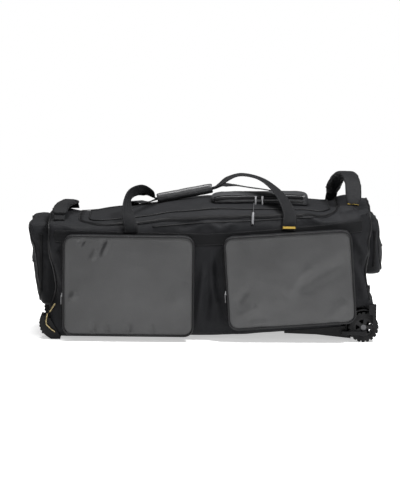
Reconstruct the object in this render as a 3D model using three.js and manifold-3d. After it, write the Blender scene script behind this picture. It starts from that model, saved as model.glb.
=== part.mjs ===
// A wheeled cricket kit bag, in millimetres.
// +X runs along the bag towards its wheels, +Y from its front face to its back, +Z up from the floor.
import * as THREE from "three";
import { mergeVertices } from "three/addons/utils/BufferGeometryUtils.js";
import Module from "manifold-3d";

const wasm = await Module();
wasm.setup();

// Driving dimensions: the body.
const BODY_LENGTH = 910;
const BODY_DEPTH = 360;
const BODY_HEIGHT = 388;
const BAND_LEVEL = 312; // top of the webbing band at the left end
const WHEEL_LIFT = 52; // height of the body's underside at the wheel end
const BOTTOM_RADIUS = 20;
const CLOTH = 2.5;
const GAP = 0.3; // clearance between pieces that touch
const LEFT_DENT = 31; // deepest hollow of the left end panel
const RIGHT_DENT = 22;
const DENT_REACH = 0.12; // share of the length over which an end's hollow fades out

// Driving dimensions: the lid and its trim.
const LID_LENGTH = 724;
const LID_MIDDLE = 0.5; // share of the body's length at the lid's centre
const LID_WIDTH = 317;
const LID_CORNER = 70;
const ZIP_WIDTH = 6;
const PIPING = 5.6; // diameter of every piping
const LID_PIPING_INSET = 22;

// Driving dimensions: webbing and pockets.
const BAND_WIDTH = 36;
const WEBBING = 2;
const POCKET_LENGTH = 370;
const POCKET_HEIGHT = 286;
const POCKET_DEPTH = 33;
const POCKET_CORNER = 28;
const POCKET_FOOT = 20; // height of a front pocket above the body's underside
const POCKET_CROWN = 8;
const SLIDER_HEIGHT = 12;
const PULLER_LENGTH = 30;
const END_POCKET_WIDTH = 230;
const LEFT_POCKET_HEIGHT = 246;
const LEFT_POCKET_DEPTH = 58;
const RIGHT_POCKET_HEIGHT = 159;
const RIGHT_POCKET_DEPTH = 39;
const TOP_POCKET_LENGTH = 276;
const TOP_POCKET_WIDTH = 72;
const TOP_POCKET_HEIGHT = 34;
const TOP_POCKET_CORNER = 16;

// Driving dimensions: handles and straps.
const HANDLE_WIDTH = 38;
const HANDLE_THICKNESS = 2.5;
const HANDLE_RISE = 80; // height of the tallest handle loop above the lid
const WRAP_DIAMETER = 29;
const WRAP_BORE_WIDTH = 25;
const WRAP_BORE_HEIGHT = 11;
const STRAP_WIDTH = 48;
const STRAP_THICKNESS = 10;
const STRAP_RISE = 95;
const TAIL_WIDTH = 32;
const PULL_TUBE_DIAMETER = 7;
const PULL_CORD_DIAMETER = 3;

// Driving dimensions: wheels, housings and skids.
const WHEEL_DIAMETER = 86;
const WHEEL_WIDTH = 26;
const WHEEL_KNOBS = 20;
const KNOB_HEIGHT = 4;
const RIM_DIAMETER = 54;
const AXLE_DIAMETER = 8;
const AXLE_SIDES = 12;
const WHEEL_INSET = 17; // from the body's right end to the axle
const WHEEL_TRACK = 326; // distance between the middles of the two wheels
const HOUSING_WALL = 3;
const WHEEL_CLEARANCE = 5; // between a tyre and its housing
const GUARD_WIDTH = 11;
const GUARD_THICKNESS = 6;
const CHASSIS_LENGTH = 240;
const CHASSIS_GROUND = 9; // height of the chassis above the floor beside the wheels
const SKID_RADIUS = 44;
const SKID_WIDTH = 60;
const SKID_RIBS = 6;
const RIB_HEIGHT = 3;

const HALF_DEPTH = BODY_DEPTH / 2;
const LEFT_END = -BODY_LENGTH / 2;

// Sections along the body: lift is a share of WHEEL_LIFT, band of BAND_LEVEL, crest of BODY_HEIGHT
// and depth of half the body's depth.
const SECTIONS = [
  { along: 0.0, lift: 0.08, band: 1.0, crest: 0.885, depth: 0.93 },
  { along: 0.045, lift: 0.08, band: 1.0, crest: 0.885, depth: 0.995 },
  { along: 0.095, lift: 0.08, band: 1.0, crest: 0.857, depth: 1.0 },
  { along: 0.15, lift: 0.1, band: 1.0, crest: 0.864, depth: 1.0 },
  { along: 0.23, lift: 0.14, band: 0.995, crest: 0.896, depth: 1.0 },
  { along: 0.39, lift: 0.2, band: 0.987, crest: 0.968, depth: 1.0 },
  { along: 0.49, lift: 0.24, band: 0.987, crest: 1.0, depth: 1.0 },
  { along: 0.6, lift: 0.31, band: 1.005, crest: 1.0, depth: 1.0 },
  { along: 0.7, lift: 0.44, band: 1.03, crest: 0.995, depth: 1.0 },
  { along: 0.8, lift: 0.6, band: 1.062, crest: 0.978, depth: 1.0 },
  { along: 0.905, lift: 0.78, band: 1.097, crest: 0.945, depth: 1.0 },
  { along: 0.955, lift: 0.88, band: 1.118, crest: 0.966, depth: 0.99 },
  { along: 1.0, lift: 1.0, band: 1.135, crest: 0.985, depth: 0.94 },
];

// The crown over the band: across is a share of the half depth, up of the way from band to crest.
const CROWN = [
  { across: 1.0, up: 0.0 },
  { across: 0.955, up: 0.32 },
  { across: 0.88, up: 0.6 },
  { across: 0.74, up: 0.8 },
  { across: 0.52, up: 0.92 },
  { across: 0.27, up: 0.985 },
  { across: 0.0, up: 1.0 },
];

// Heights of the sides' points, as shares of the way from the bottom's bend to the band.
const SIDE_LEVELS = [0, 0.09, 0.21, 0.32, 0.58, 0.93];

// Hollows of the end panels: up is a share of BODY_HEIGHT, left and right of the two dent depths.
const END_HOLLOWS = [
  { up: 0.0, left: 0.4, right: 0.0 },
  { up: 0.08, left: 0.2, right: 0.0 },
  { up: 0.13, left: 0.0, right: 0.0 },
  { up: 0.22, left: 0.5, right: 0.0 },
  { up: 0.3, left: 1.0, right: 0.0 },
  { up: 0.38, left: 0.85, right: 0.2 },
  { up: 0.49, left: 0.62, right: 1.0 },
  { up: 0.6, left: 0.45, right: 0.8 },
  { up: 0.75, left: 0.2, right: 0.4 },
  { up: 0.88, left: 0.0, right: 0.0 },
  { up: 1.05, left: 0.1, right: 0.1 },
];

// Front pockets: along is a share of the body's length, foot of POCKET_FOOT, width and height of
// the pocket sizes, tilt in degrees.
const FRONT_POCKETS = [
  { name: "left", along: 0.252, foot: 0.4, width: 1.0, height: 1.0, tilt: 0 },
  { name: "right", along: 0.7505, foot: 1.0, width: 0.976, height: 0.93, tilt: 4.3 },
];

// Soft dents of the front panels: across and up are shares of the half sizes, reach of the half
// length and depth of POCKET_CROWN.
const PANEL_DENTS = [
  { pocket: "left", across: -0.55, up: 0.75, reach: 0.4, depth: 0.5 },
  { pocket: "left", across: 0.3, up: -0.8, reach: 0.45, depth: 0.4 },
  { pocket: "right", across: 0.55, up: 0.2, reach: 0.45, depth: 1.1 },
  { pocket: "right", across: 0.15, up: -0.2, reach: 0.35, depth: 0.7 },
];

// Shares of a crowned panel: inset of its half height, rise of its crown.
const PANEL_RINGS = [
  { inset: 0.0, rise: 0.0 },
  { inset: 0.14, rise: 0.45 },
  { inset: 0.42, rise: 0.82 },
  { inset: 0.74, rise: 1.0 },
];

// End pockets: level is a share of BODY_HEIGHT, top and bottom of the pocket's own depth.
const END_POCKETS = [
  {
    name: "left",
    side: -1,
    height: LEFT_POCKET_HEIGHT,
    depth: LEFT_POCKET_DEPTH,
    level: 0.533,
    top: 1.0,
    bottom: 0.42,
  },
  {
    name: "right",
    side: 1,
    height: RIGHT_POCKET_HEIGHT,
    depth: RIGHT_POCKET_DEPTH,
    level: 0.675,
    top: 0.55,
    bottom: 1.0,
  },
];

// Routes of straps: along is a share of the body's length, across of its half depth, above of the
// strap's own rise over the bag's surface; wide gives the direction of the strap's width.
const FRONT_LEFT_ROUTE = [
  { along: 0.259, across: -1, above: -0.05, wide: [1, 0, 0], foot: true },
  { along: 0.257, across: -1, above: 0.15, wide: [1, 0, 0], foot: true },
  { along: 0.25, across: -0.945, above: 0.34, wide: [0.8, 0.6, 0] },
  { along: 0.246, across: -0.72, above: 0.5, wide: [0.25, 1, 0] },
  { along: 0.254, across: -0.5, above: 0.69, wide: [0, 0.9, 0.45] },
  { along: 0.28, across: -0.3, above: 0.7, wide: [0, 0.75, 0.65] },
  { along: 0.308, across: -0.1, above: 0.46, wide: [0, 1, 0.3] },
];
const FRONT_RIGHT_ROUTE = [
  { along: 0.545, across: -0.13, above: 0.62, wide: [0, 1, 0.3] },
  { along: 0.597, across: -0.33, above: 0.92, wide: [0.2, 1, 0.1] },
  { along: 0.654, across: -0.45, above: 0.87, wide: [0.4, 1, 0] },
  { along: 0.695, across: -0.59, above: 0.66, wide: [0.6, 0.9, 0] },
  { along: 0.727, across: -0.77, above: 0.4, wide: [0.8, 0.6, 0] },
  { along: 0.747, across: -0.945, above: 0.2, wide: [1, 0.2, 0] },
  { along: 0.746, across: -1, above: 0.16, wide: [1, 0, 0], foot: true },
  { along: 0.744, across: -1, above: -0.11, wide: [1, 0, 0], foot: true },
];
const REAR_LEFT_ROUTE = [
  { along: 0.259, across: 1, above: -0.05, wide: [1, 0, 0], foot: true },
  { along: 0.257, across: 1, above: 0.1, wide: [1, 0, 0], foot: true },
  { along: 0.255, across: 0.945, above: 0.16, wide: [1, 0.1, 0] },
  { along: 0.26, across: 0.67, above: 0.12, wide: [0.95, 0.3, 0] },
  { along: 0.272, across: 0.39, above: 0.14, wide: [0.7, 0.7, 0] },
  { along: 0.3, across: 0.17, above: 0.08, wide: [0.3, 1, 0] },
];
const REAR_RIGHT_ROUTE = [
  { along: 0.54, across: 0.11, above: 0.4, wide: [0, 1, 0.2] },
  { along: 0.577, across: 0.21, above: 0.39, wide: [0.3, 1, 0] },
  { along: 0.626, across: 0.33, above: 0.3, wide: [0.5, 0.9, 0] },
  { along: 0.678, across: 0.51, above: 0.22, wide: [0.8, 0.6, 0] },
  { along: 0.72, across: 0.73, above: 0.16, wide: [0.95, 0.3, 0] },
  { along: 0.743, across: 0.945, above: 0.16, wide: [1, 0.1, 0] },
  { along: 0.745, across: 1, above: 0.12, wide: [1, 0, 0], foot: true },
  { along: 0.744, across: 1, above: -0.11, wide: [1, 0, 0], foot: true },
];
const WRAP_ENDS = [
  { along: 0.335, across: 0.01, above: 0.0 },
  { along: 0.509, across: 0.01, above: 0.12 },
];
const WRAP_STATIONS = [-0.04, 0.1, 0.9, 1.04]; // shares of the wrap that steer the webbing
const SHOULDER_ROUTES = {
  left: [
    { along: 0.034, across: -0.8, above: 0.02 },
    { along: 0.034, across: -0.68, above: 0.08 },
    { along: 0.036, across: -0.52, above: 0.18 },
    { along: 0.042, across: -0.28, above: 0.25 },
    { along: 0.052, across: -0.02, above: 0.27 },
    { along: 0.061, across: 0.25, above: 0.25 },
    { along: 0.067, across: 0.48, above: 0.15 },
    { along: 0.069, across: 0.62, above: 0.03 },
  ],
  right: [
    { along: 0.944, across: -0.8, above: 0.02 },
    { along: 0.945, across: -0.7, above: 0.1 },
    { along: 0.947, across: -0.6, above: 0.45 },
    { along: 0.942, across: -0.4, above: 0.85 },
    { along: 0.926, across: -0.11, above: 0.99 },
    { along: 0.909, across: 0.2, above: 0.85 },
    { along: 0.896, across: 0.5, above: 0.54 },
    { along: 0.889, across: 0.78, above: 0.2 },
    { along: 0.886, across: 0.95, above: 0.0 },
  ],
};
// The lid zip's pull: its loop from the top pocket's front down the crown, then its grip tube.
const PULL_LOOP_ROUTE = [
  { along: 0.638, across: -0.6, above: 0.075 },
  { along: 0.637, across: -0.7, above: 0.07 },
  { along: 0.636, across: -0.8, above: 0.055 },
  { along: 0.635, across: -0.87, above: 0.06 },
];
const PULL_TUBE_ROUTE = [
  { along: 0.635, across: -0.882, above: 0.065 },
  { along: 0.634, across: -0.93, above: 0.08 },
  { along: 0.633, across: -0.98, above: 0.08 },
];
// The chassis's keel: along is a share of CHASSIS_LENGTH, level of its drop to the ground height.
const CHASSIS_KEEL = [
  { along: 0.0, level: 1.0 },
  { along: 0.38, level: 0.8 },
  { along: 0.66, level: 0.28 },
  { along: 0.84, level: 0.0 },
  { along: 1.0, level: 0.05 },
];
// The skid's rounded outline runs between these angles, in degrees about its middle.
const SKID_ARC = { from: 148, ribsTo: 222, bend: 236, to: 252 };
const TOP_POCKET_PLACE = { along: 0.655, across: -0.345 };
const PAD_SHARE = { from: 0.14, to: 0.86 }; // stretch of a shoulder strap's route that is padded
const STRAP_STEPS = { handle: 3, tail: 5 }; // rings to a span of a strap's route
const PAD_SLACK = 0.0015; // share of the route left between a pad and its webbing
const LID_PIPING = { size: 0.7, lift: 0.12, spans: 10 }; // shares of PIPING, and spans of its length
// Where the end piping stops above its skid, as a share of the skid's radius, and above its
// wheel, as a share of the wheel's diameter.
const END_PIPING_FOOT = { skid: 2.15, wheel: 1.42 };
// A front pocket's zip: length and slider are shares of the pocket's height, depth of its depth,
// and tape, head and puller of ZIP_WIDTH.
const POCKET_ZIP = { length: 0.72, depth: 0.45, slider: -0.1, tape: 2, head: 1.4, puller: 0.8 };
const POUCH_CROWN = { end: 0.12, top: 0.15 }; // shares of a pouch's depth that its front swells
const TOP_POCKET_WEDGE = { start: 0.45, rise: 2.4 };
// The top pocket's sliders: along its length, level up its height, head and puller as shares of
// ZIP_WIDTH, length and drop of PULLER_LENGTH.
const TOP_SLIDERS = { along: [0.46, 0.53], level: 0.7, head: 1.2, puller: 0.7, length: 0.8, drop: 0.3 };
// A tyre knob's outline: share of the pitch, and whether it is out on the tread.
const KNOB_OUTLINE = [
  { pitch: -0.36, out: 0 },
  { pitch: -0.28, out: 1 },
  { pitch: 0.28, out: 1 },
  { pitch: 0.36, out: 0 },
];
// A rim's windows: outer and inner are shares of its radius, bar is half a spoke's angle.
const RIM_WINDOW = { spokes: 5, outer: 0.82, inner: 0.4, bar: 0.28, taper: 0.6 };
const RIM_STEP = 0.1; // share of the wheel's width by which the rim stands back
// The guard bars: shares of the housing's reach from the axle, and low of the axle's height.
const GUARD_PLACE = { right: 0.5, top: 1.3, post: 0.72, foot: 0.86, low: 0.5, wide: 0.9 };
// The skid's outline over its ribs, as shares of its radius from its middle.
const SKID_TOP = [
  { out: 0.3, up: 0 },
  { out: 0.3, up: 0.16 },
  { out: 0, up: 0.75 },
  { out: -0.35, up: 1.35 },
];
const SKID_MIDDLE = 0.55; // share of the skid's radius in from the bag's left end
// One rib of a skid: share of the pitch, and whether it is out on the rib.
const RIB_OUTLINE = [
  { pitch: 0, out: 0 },
  { pitch: 0.2, out: 1 },
  { pitch: 0.6, out: 1 },
  { pitch: 0.8, out: 0 },
];

const FINISHES = {
  nylon: { color: 0x17181b, roughness: 0.85, metalness: 0 },
  coated: { color: 0x3a3b3e, roughness: 0.45, metalness: 0 },
  gusset: { color: 0x1d1e21, roughness: 0.8, metalness: 0 },
  webbing: { color: 0x1b1b1d, roughness: 0.9, metalness: 0 },
  padding: { color: 0x434447, roughness: 0.75, metalness: 0 },
  piping: { color: 0x101012, roughness: 0.6, metalness: 0 },
  zip: { color: 0x0d0d0f, roughness: 0.7, metalness: 0 },
  moulding: { color: 0x2c2d30, roughness: 0.5, metalness: 0 },
  rim: { color: 0x3a3b3e, roughness: 0.45, metalness: 0 },
  tyre: { color: 0x242427, roughness: 0.8, metalness: 0 },
  steel: { color: 0xa6a7aa, roughness: 0.3, metalness: 1 },
  thread: { color: 0xc9aa32, roughness: 0.7, metalness: 0 },
  tube: { color: 0xb5b6b8, roughness: 0.4, metalness: 0 },
};

const bag = new THREE.Group();

// Adds one named piece to the bag.
function piece(name, shape, finish) {
  const geometry = shape.isBufferGeometry ? shape : geometryOf(shape);
  const mesh = new THREE.Mesh(geometry, new THREE.MeshStandardMaterial(FINISHES[finish]));
  mesh.name = name;
  bag.add(mesh);
}

// A closed geometry as a solid that can be cut and joined.
function solidOf(geometry) {
  const bare = geometry.clone();
  bare.deleteAttribute("normal");
  bare.deleteAttribute("uv");
  const merged = mergeVertices(bare, 1e-3);
  return new wasm.Manifold(
    new wasm.Mesh({
      numProp: 3,
      vertProperties: new Float32Array(merged.attributes.position.array),
      triVerts: new Uint32Array(merged.index.array),
    }),
  );
}

// A cut or joined solid as a geometry.
function geometryOf(solid) {
  const mesh = solid.getMesh();
  const geometry = new THREE.BufferGeometry();
  geometry.setAttribute("position", new THREE.BufferAttribute(mesh.vertProperties, 3));
  geometry.setIndex(new THREE.BufferAttribute(mesh.triVerts, 1));
  geometry.computeVertexNormals();
  return geometry;
}

// Value of a named column of a table at a place between its rows.
function lookUp(table, key, place, column) {
  const rising = table[0][key] < table[table.length - 1][key];
  const rows = rising ? table : [...table].reverse();
  if (place <= rows[0][key]) return rows[0][column];
  for (let i = 1; i < rows.length; i++) {
    const low = rows[i - 1];
    const high = rows[i];
    if (place <= high[key]) {
      const share = (place - low[key]) / (high[key] - low[key]);
      return THREE.MathUtils.lerp(low[column], high[column], share);
    }
  }
  return rows[rows.length - 1][column];
}

// A skin over rings of points; open ends are closed by fans, a looped skin joins its last ring to
// its first. Faces are turned outwards at the end.
function loft(rings, looped = false, matched = false) {
  const count = rings[0].length;
  const points = rings.flat();
  const faces = [];
  const spans = looped ? rings.length : rings.length - 1;
  for (let r = 0; r < spans; r++) {
    const here = r * count;
    const next = ((r + 1) % rings.length) * count;
    for (let i = 0; i < count; i++) {
      const j = (i + 1) % count;
      const turned = matched && 2 * i >= count;
      if (turned) faces.push(here + i, here + j, next + i, here + j, next + j, next + i);
      else faces.push(here + i, here + j, next + j, here + i, next + j, next + i);
    }
  }
  if (!looped) {
    for (const [start, reversed] of [[0, true], [(rings.length - 1) * count, false]]) {
      const middle = new THREE.Vector3();
      for (let i = 0; i < count; i++) middle.add(points[start + i]);
      points.push(middle.divideScalar(count));
      for (let i = 0; i < count; i++) {
        const j = (i + 1) % count;
        const pair = reversed ? [start + j, start + i] : [start + i, start + j];
        faces.push(points.length - 1, ...pair);
      }
    }
  }
  let volume = 0;
  for (let f = 0; f < faces.length; f += 3) {
    const [a, b, c] = [points[faces[f]], points[faces[f + 1]], points[faces[f + 2]]];
    volume += a.dot(b.clone().cross(c));
  }
  if (volume < 0) faces.reverse();
  const geometry = new THREE.BufferGeometry().setFromPoints(points);
  geometry.setIndex(faces);
  geometry.computeVertexNormals();
  return geometry;
}

// Points of a rectangle with round corners about the origin, as 2-D points.
function roundedOutline(width, height, radius, perCorner = 3) {
  const corner = Math.max(1, Math.min(radius, width / 2 - 1, height / 2 - 1));
  const points = [];
  for (let quarter = 0; quarter < 4; quarter++) {
    const signX = quarter === 0 || quarter === 3 ? 1 : -1;
    const signY = quarter < 2 ? 1 : -1;
    for (let i = 0; i <= perCorner; i++) {
      const angle = ((quarter + i / perCorner) * Math.PI) / 2;
      points.push(
        new THREE.Vector2(
          signX * (width / 2 - corner) + corner * Math.cos(angle),
          signY * (height / 2 - corner) + corner * Math.sin(angle),
        ),
      );
    }
  }
  return points;
}

// A circle or oval of points, as 2-D points.
function oval(width, height, sides) {
  return Array.from({ length: sides }, (_, i) => {
    const angle = ((i + 0.5) / sides) * Math.PI * 2;
    return new THREE.Vector2((Math.cos(angle) * width) / 2, (Math.sin(angle) * height) / 2);
  });
}

// A plate whose outline lies in the XZ plane and whose thickness runs along Y.
function plateAlongY(shape, low, high, segments = 12) {
  const plate = new THREE.ExtrudeGeometry(shape, {
    depth: high - low,
    bevelEnabled: false,
    curveSegments: segments,
  });
  plate.rotateX(Math.PI / 2);
  return plate.translate(0, high, 0);
}

// A drum about an axis along Y.
function drum(radius, low, high, x, z, sides = 24) {
  const cylinder = new THREE.CylinderGeometry(radius, radius, high - low, sides);
  return cylinder.translate(x, (low + high) / 2, z);
}

// The body's surfaces.
function sectionAt(along) {
  return {
    lift: lookUp(SECTIONS, "along", along, "lift") * WHEEL_LIFT,
    band: lookUp(SECTIONS, "along", along, "band") * BAND_LEVEL,
    crest: lookUp(SECTIONS, "along", along, "crest") * BODY_HEIGHT,
    depth: lookUp(SECTIONS, "along", along, "depth") * HALF_DEPTH,
  };
}

// How far an end panel is pressed in at a height.
function hollow(side, z) {
  const share = lookUp(END_HOLLOWS, "up", z / BODY_HEIGHT, side < 0 ? "left" : "right");
  return share * (side < 0 ? LEFT_DENT : RIGHT_DENT);
}

// Place along X of a point of the body: the end panels' hollows fade out into the sides.
function bodyX(along, z, grow = 0) {
  const fade = (share) => Math.max(0, 1 - share / DENT_REACH) ** 2;
  const straight = LEFT_END - grow + along * (BODY_LENGTH + 2 * grow);
  return straight + hollow(-1, z) * fade(along) - hollow(1, z) * fade(1 - along);
}

// Height of the bag's top at a place, or of its band where the place is out on the sides.
function topLevel(along, y) {
  const section = sectionAt(along);
  const across = Math.min(1, Math.abs(y) / section.depth);
  const up = lookUp(CROWN, "across", across, "up");
  return THREE.MathUtils.lerp(section.band, section.crest, up);
}

// Outline of the body at a section, grown or shrunk by a distance, as pairs of y and z.
function bodyOutline(along, grow) {
  const section = sectionAt(along);
  const half = section.depth + grow;
  const low = section.lift - grow;
  const crest = section.crest + grow;
  const bend = BOTTOM_RADIUS * (1 - Math.SQRT1_2);
  const foot = low + BOTTOM_RADIUS;
  const side = [
    [half / 2, low],
    [half - BOTTOM_RADIUS, low],
    [half - bend, low + bend],
    ...SIDE_LEVELS.map((share) => [half, THREE.MathUtils.lerp(foot, section.band, share)]),
    ...CROWN.slice(0, -1).map((row) => [
      half * row.across,
      THREE.MathUtils.lerp(section.band, crest, row.up),
    ]),
  ];
  const mirrored = side.map(([y, z]) => [-y, z]).reverse();
  return [[0, low], ...side, [0, crest], ...mirrored];
}

// The filled body, grown or shrunk by a distance; rings inside the ends carry their hollows.
function filledBody(grow) {
  const ring = (along, scale) => {
    const outline = bodyOutline(along, grow);
    const middle = BAND_LEVEL / 2;
    return outline.map(([y, z]) => {
      const height = middle + (z - middle) * scale;
      return new THREE.Vector3(bodyX(along, height, grow), y * scale, height);
    });
  };
  const rings = [ring(0, 0.6)];
  for (const row of SECTIONS) rings.push(ring(row.along, 1));
  rings.push(ring(1, 0.6));
  return solidOf(loft(rings));
}

// The lid's outline, grown by a distance, as an upright block.
function lidBlock(grow) {
  const outline = roundedOutline(
    LID_LENGTH + 2 * grow,
    LID_WIDTH + 2 * grow,
    LID_CORNER + grow,
    4,
  );
  const block = new THREE.ExtrudeGeometry(new THREE.Shape(outline), {
    depth: BODY_HEIGHT,
    bevelEnabled: false,
  });
  const middle = LEFT_END + LID_MIDDLE * BODY_LENGTH;
  return solidOf(block.translate(middle, 0, BAND_LEVEL * 0.8));
}

const bodyClear = filledBody(GAP);

// A piece laid on the body, cut back to a small clearance from it.
function fittedToBody(geometry) {
  return solidOf(geometry).subtract(bodyClear);
}

// Applies a placing function to every point of a geometry.
function mapped(geometry, place) {
  const position = geometry.attributes.position;
  for (let i = 0; i < position.count; i++) {
    const point = place(position.getX(i), position.getY(i), position.getZ(i));
    position.setXYZ(i, point.x, point.y, point.z);
  }
  geometry.computeVertexNormals();
  return geometry;
}

// Where the wheels stand, and how far their housings reach.
const wheelX = BODY_LENGTH / 2 - WHEEL_INSET;
const wheelZ = WHEEL_DIAMETER / 2;
const housingRadius = WHEEL_DIAMETER / 2 + WHEEL_CLEARANCE;
const housingInner = WHEEL_TRACK / 2 - WHEEL_WIDTH / 2 - WHEEL_CLEARANCE;
const housingOuter = WHEEL_TRACK / 2 + WHEEL_WIDTH / 2 + WHEEL_CLEARANCE;

// A drum beside one end of the axle line, between two distances from the middle of the bag.
function wheelDrum(side, radius, near, far, sides) {
  const low = side < 0 ? -far : near;
  const high = side < 0 ? -near : far;
  return solidOf(drum(radius, low, high, wheelX, wheelZ, sides));
}

// Body shell, lid and lid zip: one skin cut by the lid's outline.
function makeShell() {
  const skin = filledBody(0).subtract(filledBody(-CLOTH));
  let tub = skin.subtract(lidBlock(ZIP_WIDTH + 2 * GAP));
  for (const side of [-1, 1]) {
    const reach = HOUSING_WALL + GAP;
    const well = wheelDrum(side, housingRadius + reach, housingInner - reach, HALF_DEPTH * 1.2);
    tub = tub.subtract(well);
  }
  piece("bag_body", tub, "nylon");
  piece("lid_panel", skin.intersect(lidBlock(0)), "nylon");
  const zip = skin.intersect(lidBlock(ZIP_WIDTH + GAP).subtract(lidBlock(GAP)));
  piece("lid_zip", zip, "zip");
}

// Piping sewn on the lid, a step in from its zip.
function makeLidPiping() {
  const inset = 2 * LID_PIPING_INSET;
  const outline = roundedOutline(
    LID_LENGTH - inset,
    LID_WIDTH - inset,
    LID_CORNER - LID_PIPING_INSET,
    3,
  );
  const middle = LEFT_END + LID_MIDDLE * BODY_LENGTH;
  const dense = [];
  outline.forEach((point, i) => {
    const next = outline[(i + 1) % outline.length];
    const parts = Math.max(1, Math.round(point.distanceTo(next) / (LID_LENGTH / LID_PIPING.spans)));
    for (let k = 0; k < parts; k++) dense.push(point.clone().lerp(next, k / parts));
  });
  const rings = dense.map((point, i) => {
    const before = dense[(i + dense.length - 1) % dense.length];
    const after = dense[(i + 1) % dense.length];
    const out = new THREE.Vector2(after.y - before.y, before.x - after.x).normalize();
    return oval(PIPING * LID_PIPING.size, PIPING * LID_PIPING.size, 4).map((corner) => {
      const x = middle + point.x + out.x * corner.x;
      const y = point.y + out.y * corner.x;
      const along = (x - LEFT_END) / BODY_LENGTH;
      return new THREE.Vector3(x, y, topLevel(along, y) + PIPING * LID_PIPING.lift + corner.y);
    });
  });
  piece("lid_piping", fittedToBody(loft(rings, true)), "piping");
}

// Webbing bands along the two sides, under the crown.
function makeBands() {
  for (const [name, side] of [["front", -1], ["rear", 1]]) {
    const alongs = SECTIONS.map((row) => THREE.MathUtils.clamp(row.along, 0.02, 0.98));
    const rings = alongs.map((along) => {
      const section = sectionAt(along);
      const inner = section.depth + GAP;
      const outer = inner + WEBBING;
      const top = section.band - 1;
      const corners = [
        [inner, top - BAND_WIDTH],
        [outer, top - BAND_WIDTH],
        [outer, top],
        [inner, top],
      ];
      return corners.map(([y, z]) => new THREE.Vector3(bodyX(along, z), side * y, z));
    });
    piece(`band_${name}`, loft(rings), "webbing");
  }
}

// Piping round the rim of each end panel, from above its skid or wheel over the top.
function makeEndPiping() {
  const ends = [
    { name: "left", side: -1, foot: SKID_RADIUS * END_PIPING_FOOT.skid },
    { name: "right", side: 1, foot: WHEEL_DIAMETER * END_PIPING_FOOT.wheel },
  ];
  for (const { name, side, foot } of ends) {
    const along = side < 0 ? 0 : 1;
    const start = bodyOutline(along, -PIPING / 2);
    const half = sectionAt(along).depth - PIPING / 2;
    const upper = start.filter(([, z]) => z > foot);
    const route = [[half, foot], ...upper, [-half, foot]].map(([y, z]) => {
      const x = bodyX(along, z) + side * (PIPING / 2 + GAP);
      return new THREE.Vector3(x, y, z);
    });
    const curve = new THREE.CatmullRomCurve3(route, false, "centripetal");
    const steps = route.length - 1;
    const rings = Array.from({ length: steps + 1 }, (_, i) => {
      const centre = curve.getPoint(i / steps);
      const ahead = curve.getTangent(i / steps);
      const across = new THREE.Vector3(1, 0, 0);
      across.addScaledVector(ahead, -across.dot(ahead)).normalize();
      const out = ahead.clone().cross(across);
      return oval(PIPING, PIPING, 6).map((corner) =>
        centre.clone().addScaledVector(across, corner.x).addScaledVector(out, corner.y),
      );
    });
    piece(`end_piping_${name}`, fittedToBody(loft(rings)), "piping");
  }
}

// Places a point of a front pocket: a along it, b up it, h out from the band's face.
function frontPocketPlace(row) {
  const width = row.width * POCKET_LENGTH;
  const height = row.height * POCKET_HEIGHT;
  const tilt = THREE.MathUtils.degToRad(row.tilt);
  const x = LEFT_END + row.along * BODY_LENGTH;
  const z = sectionAt(row.along).lift + row.foot * POCKET_FOOT + height / 2;
  const face = HALF_DEPTH + WEBBING + 2 * GAP;
  const place = (a, b, h) =>
    new THREE.Vector3(
      x + a * Math.cos(tilt) - b * Math.sin(tilt),
      -(face + h),
      z + a * Math.sin(tilt) + b * Math.cos(tilt),
    );
  return { width, height, place };
}

// How far a front panel is pressed in at a point.
function panelDent(name, width, height, a, b) {
  let depth = 0;
  for (const dent of PANEL_DENTS.filter((row) => row.pocket === name)) {
    const across = (a - (dent.across * width) / 2) / ((dent.reach * width) / 2);
    const up = (b - (dent.up * height) / 2) / ((dent.reach * width) / 2);
    const near = Math.max(0, 1 - across * across - up * up);
    depth += dent.depth * POCKET_CROWN * near * near;
  }
  return depth;
}

// The two front pockets: a gusset round the sides, piping and a crowned front panel.
function makeFrontPockets() {
  for (const row of FRONT_POCKETS) {
    const { width, height, place } = frontPocketPlace(row);
    const outline = (inset) =>
      roundedOutline(width - 2 * inset, height - 2 * inset, POCKET_CORNER - inset, 3);
    const ring = (inset, lift) => outline(inset).map((p) => place(p.x, p.y, lift));
    const rim = POCKET_DEPTH - PIPING / 2 - GAP;
    const gusset = [ring(0, 0), ring(0, rim), ring(CLOTH, rim), ring(CLOTH, 0)];
    piece(`pocket_${row.name}_gusset`, loft(gusset, true), "gusset");

    const centres = outline(PIPING / 2);
    const piping = centres.map((centre, i) => {
      const before = centres[(i + centres.length - 1) % centres.length];
      const after = centres[(i + 1) % centres.length];
      const out = new THREE.Vector2(after.y - before.y, before.x - after.x).normalize();
      return oval(PIPING, PIPING, 6).map((corner) =>
        place(
          centre.x + out.x * corner.x,
          centre.y + out.y * corner.x,
          POCKET_DEPTH + corner.y,
        ),
      );
    });
    piece(`pocket_${row.name}_piping`, loft(piping, true), "piping");

    const panelRing = (share, lift) =>
      outline(PIPING + GAP + (share.inset * height) / 2).map((p) => {
        const rise = share.rise * POCKET_CROWN;
        const dent = share.rise > 0 ? panelDent(row.name, width, height, p.x, p.y) : 0;
        return place(p.x, p.y, POCKET_DEPTH + lift + rise - dent);
      });
    const back = PANEL_RINGS.map((share) => panelRing(share, -CLOTH / 2)).reverse();
    const front = PANEL_RINGS.map((share) => panelRing(share, CLOTH / 2));
    piece(`pocket_${row.name}_panel`, loft([...back, ...front]), "coated");
    makePocketZip(row, width, height, place);
  }
}

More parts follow.
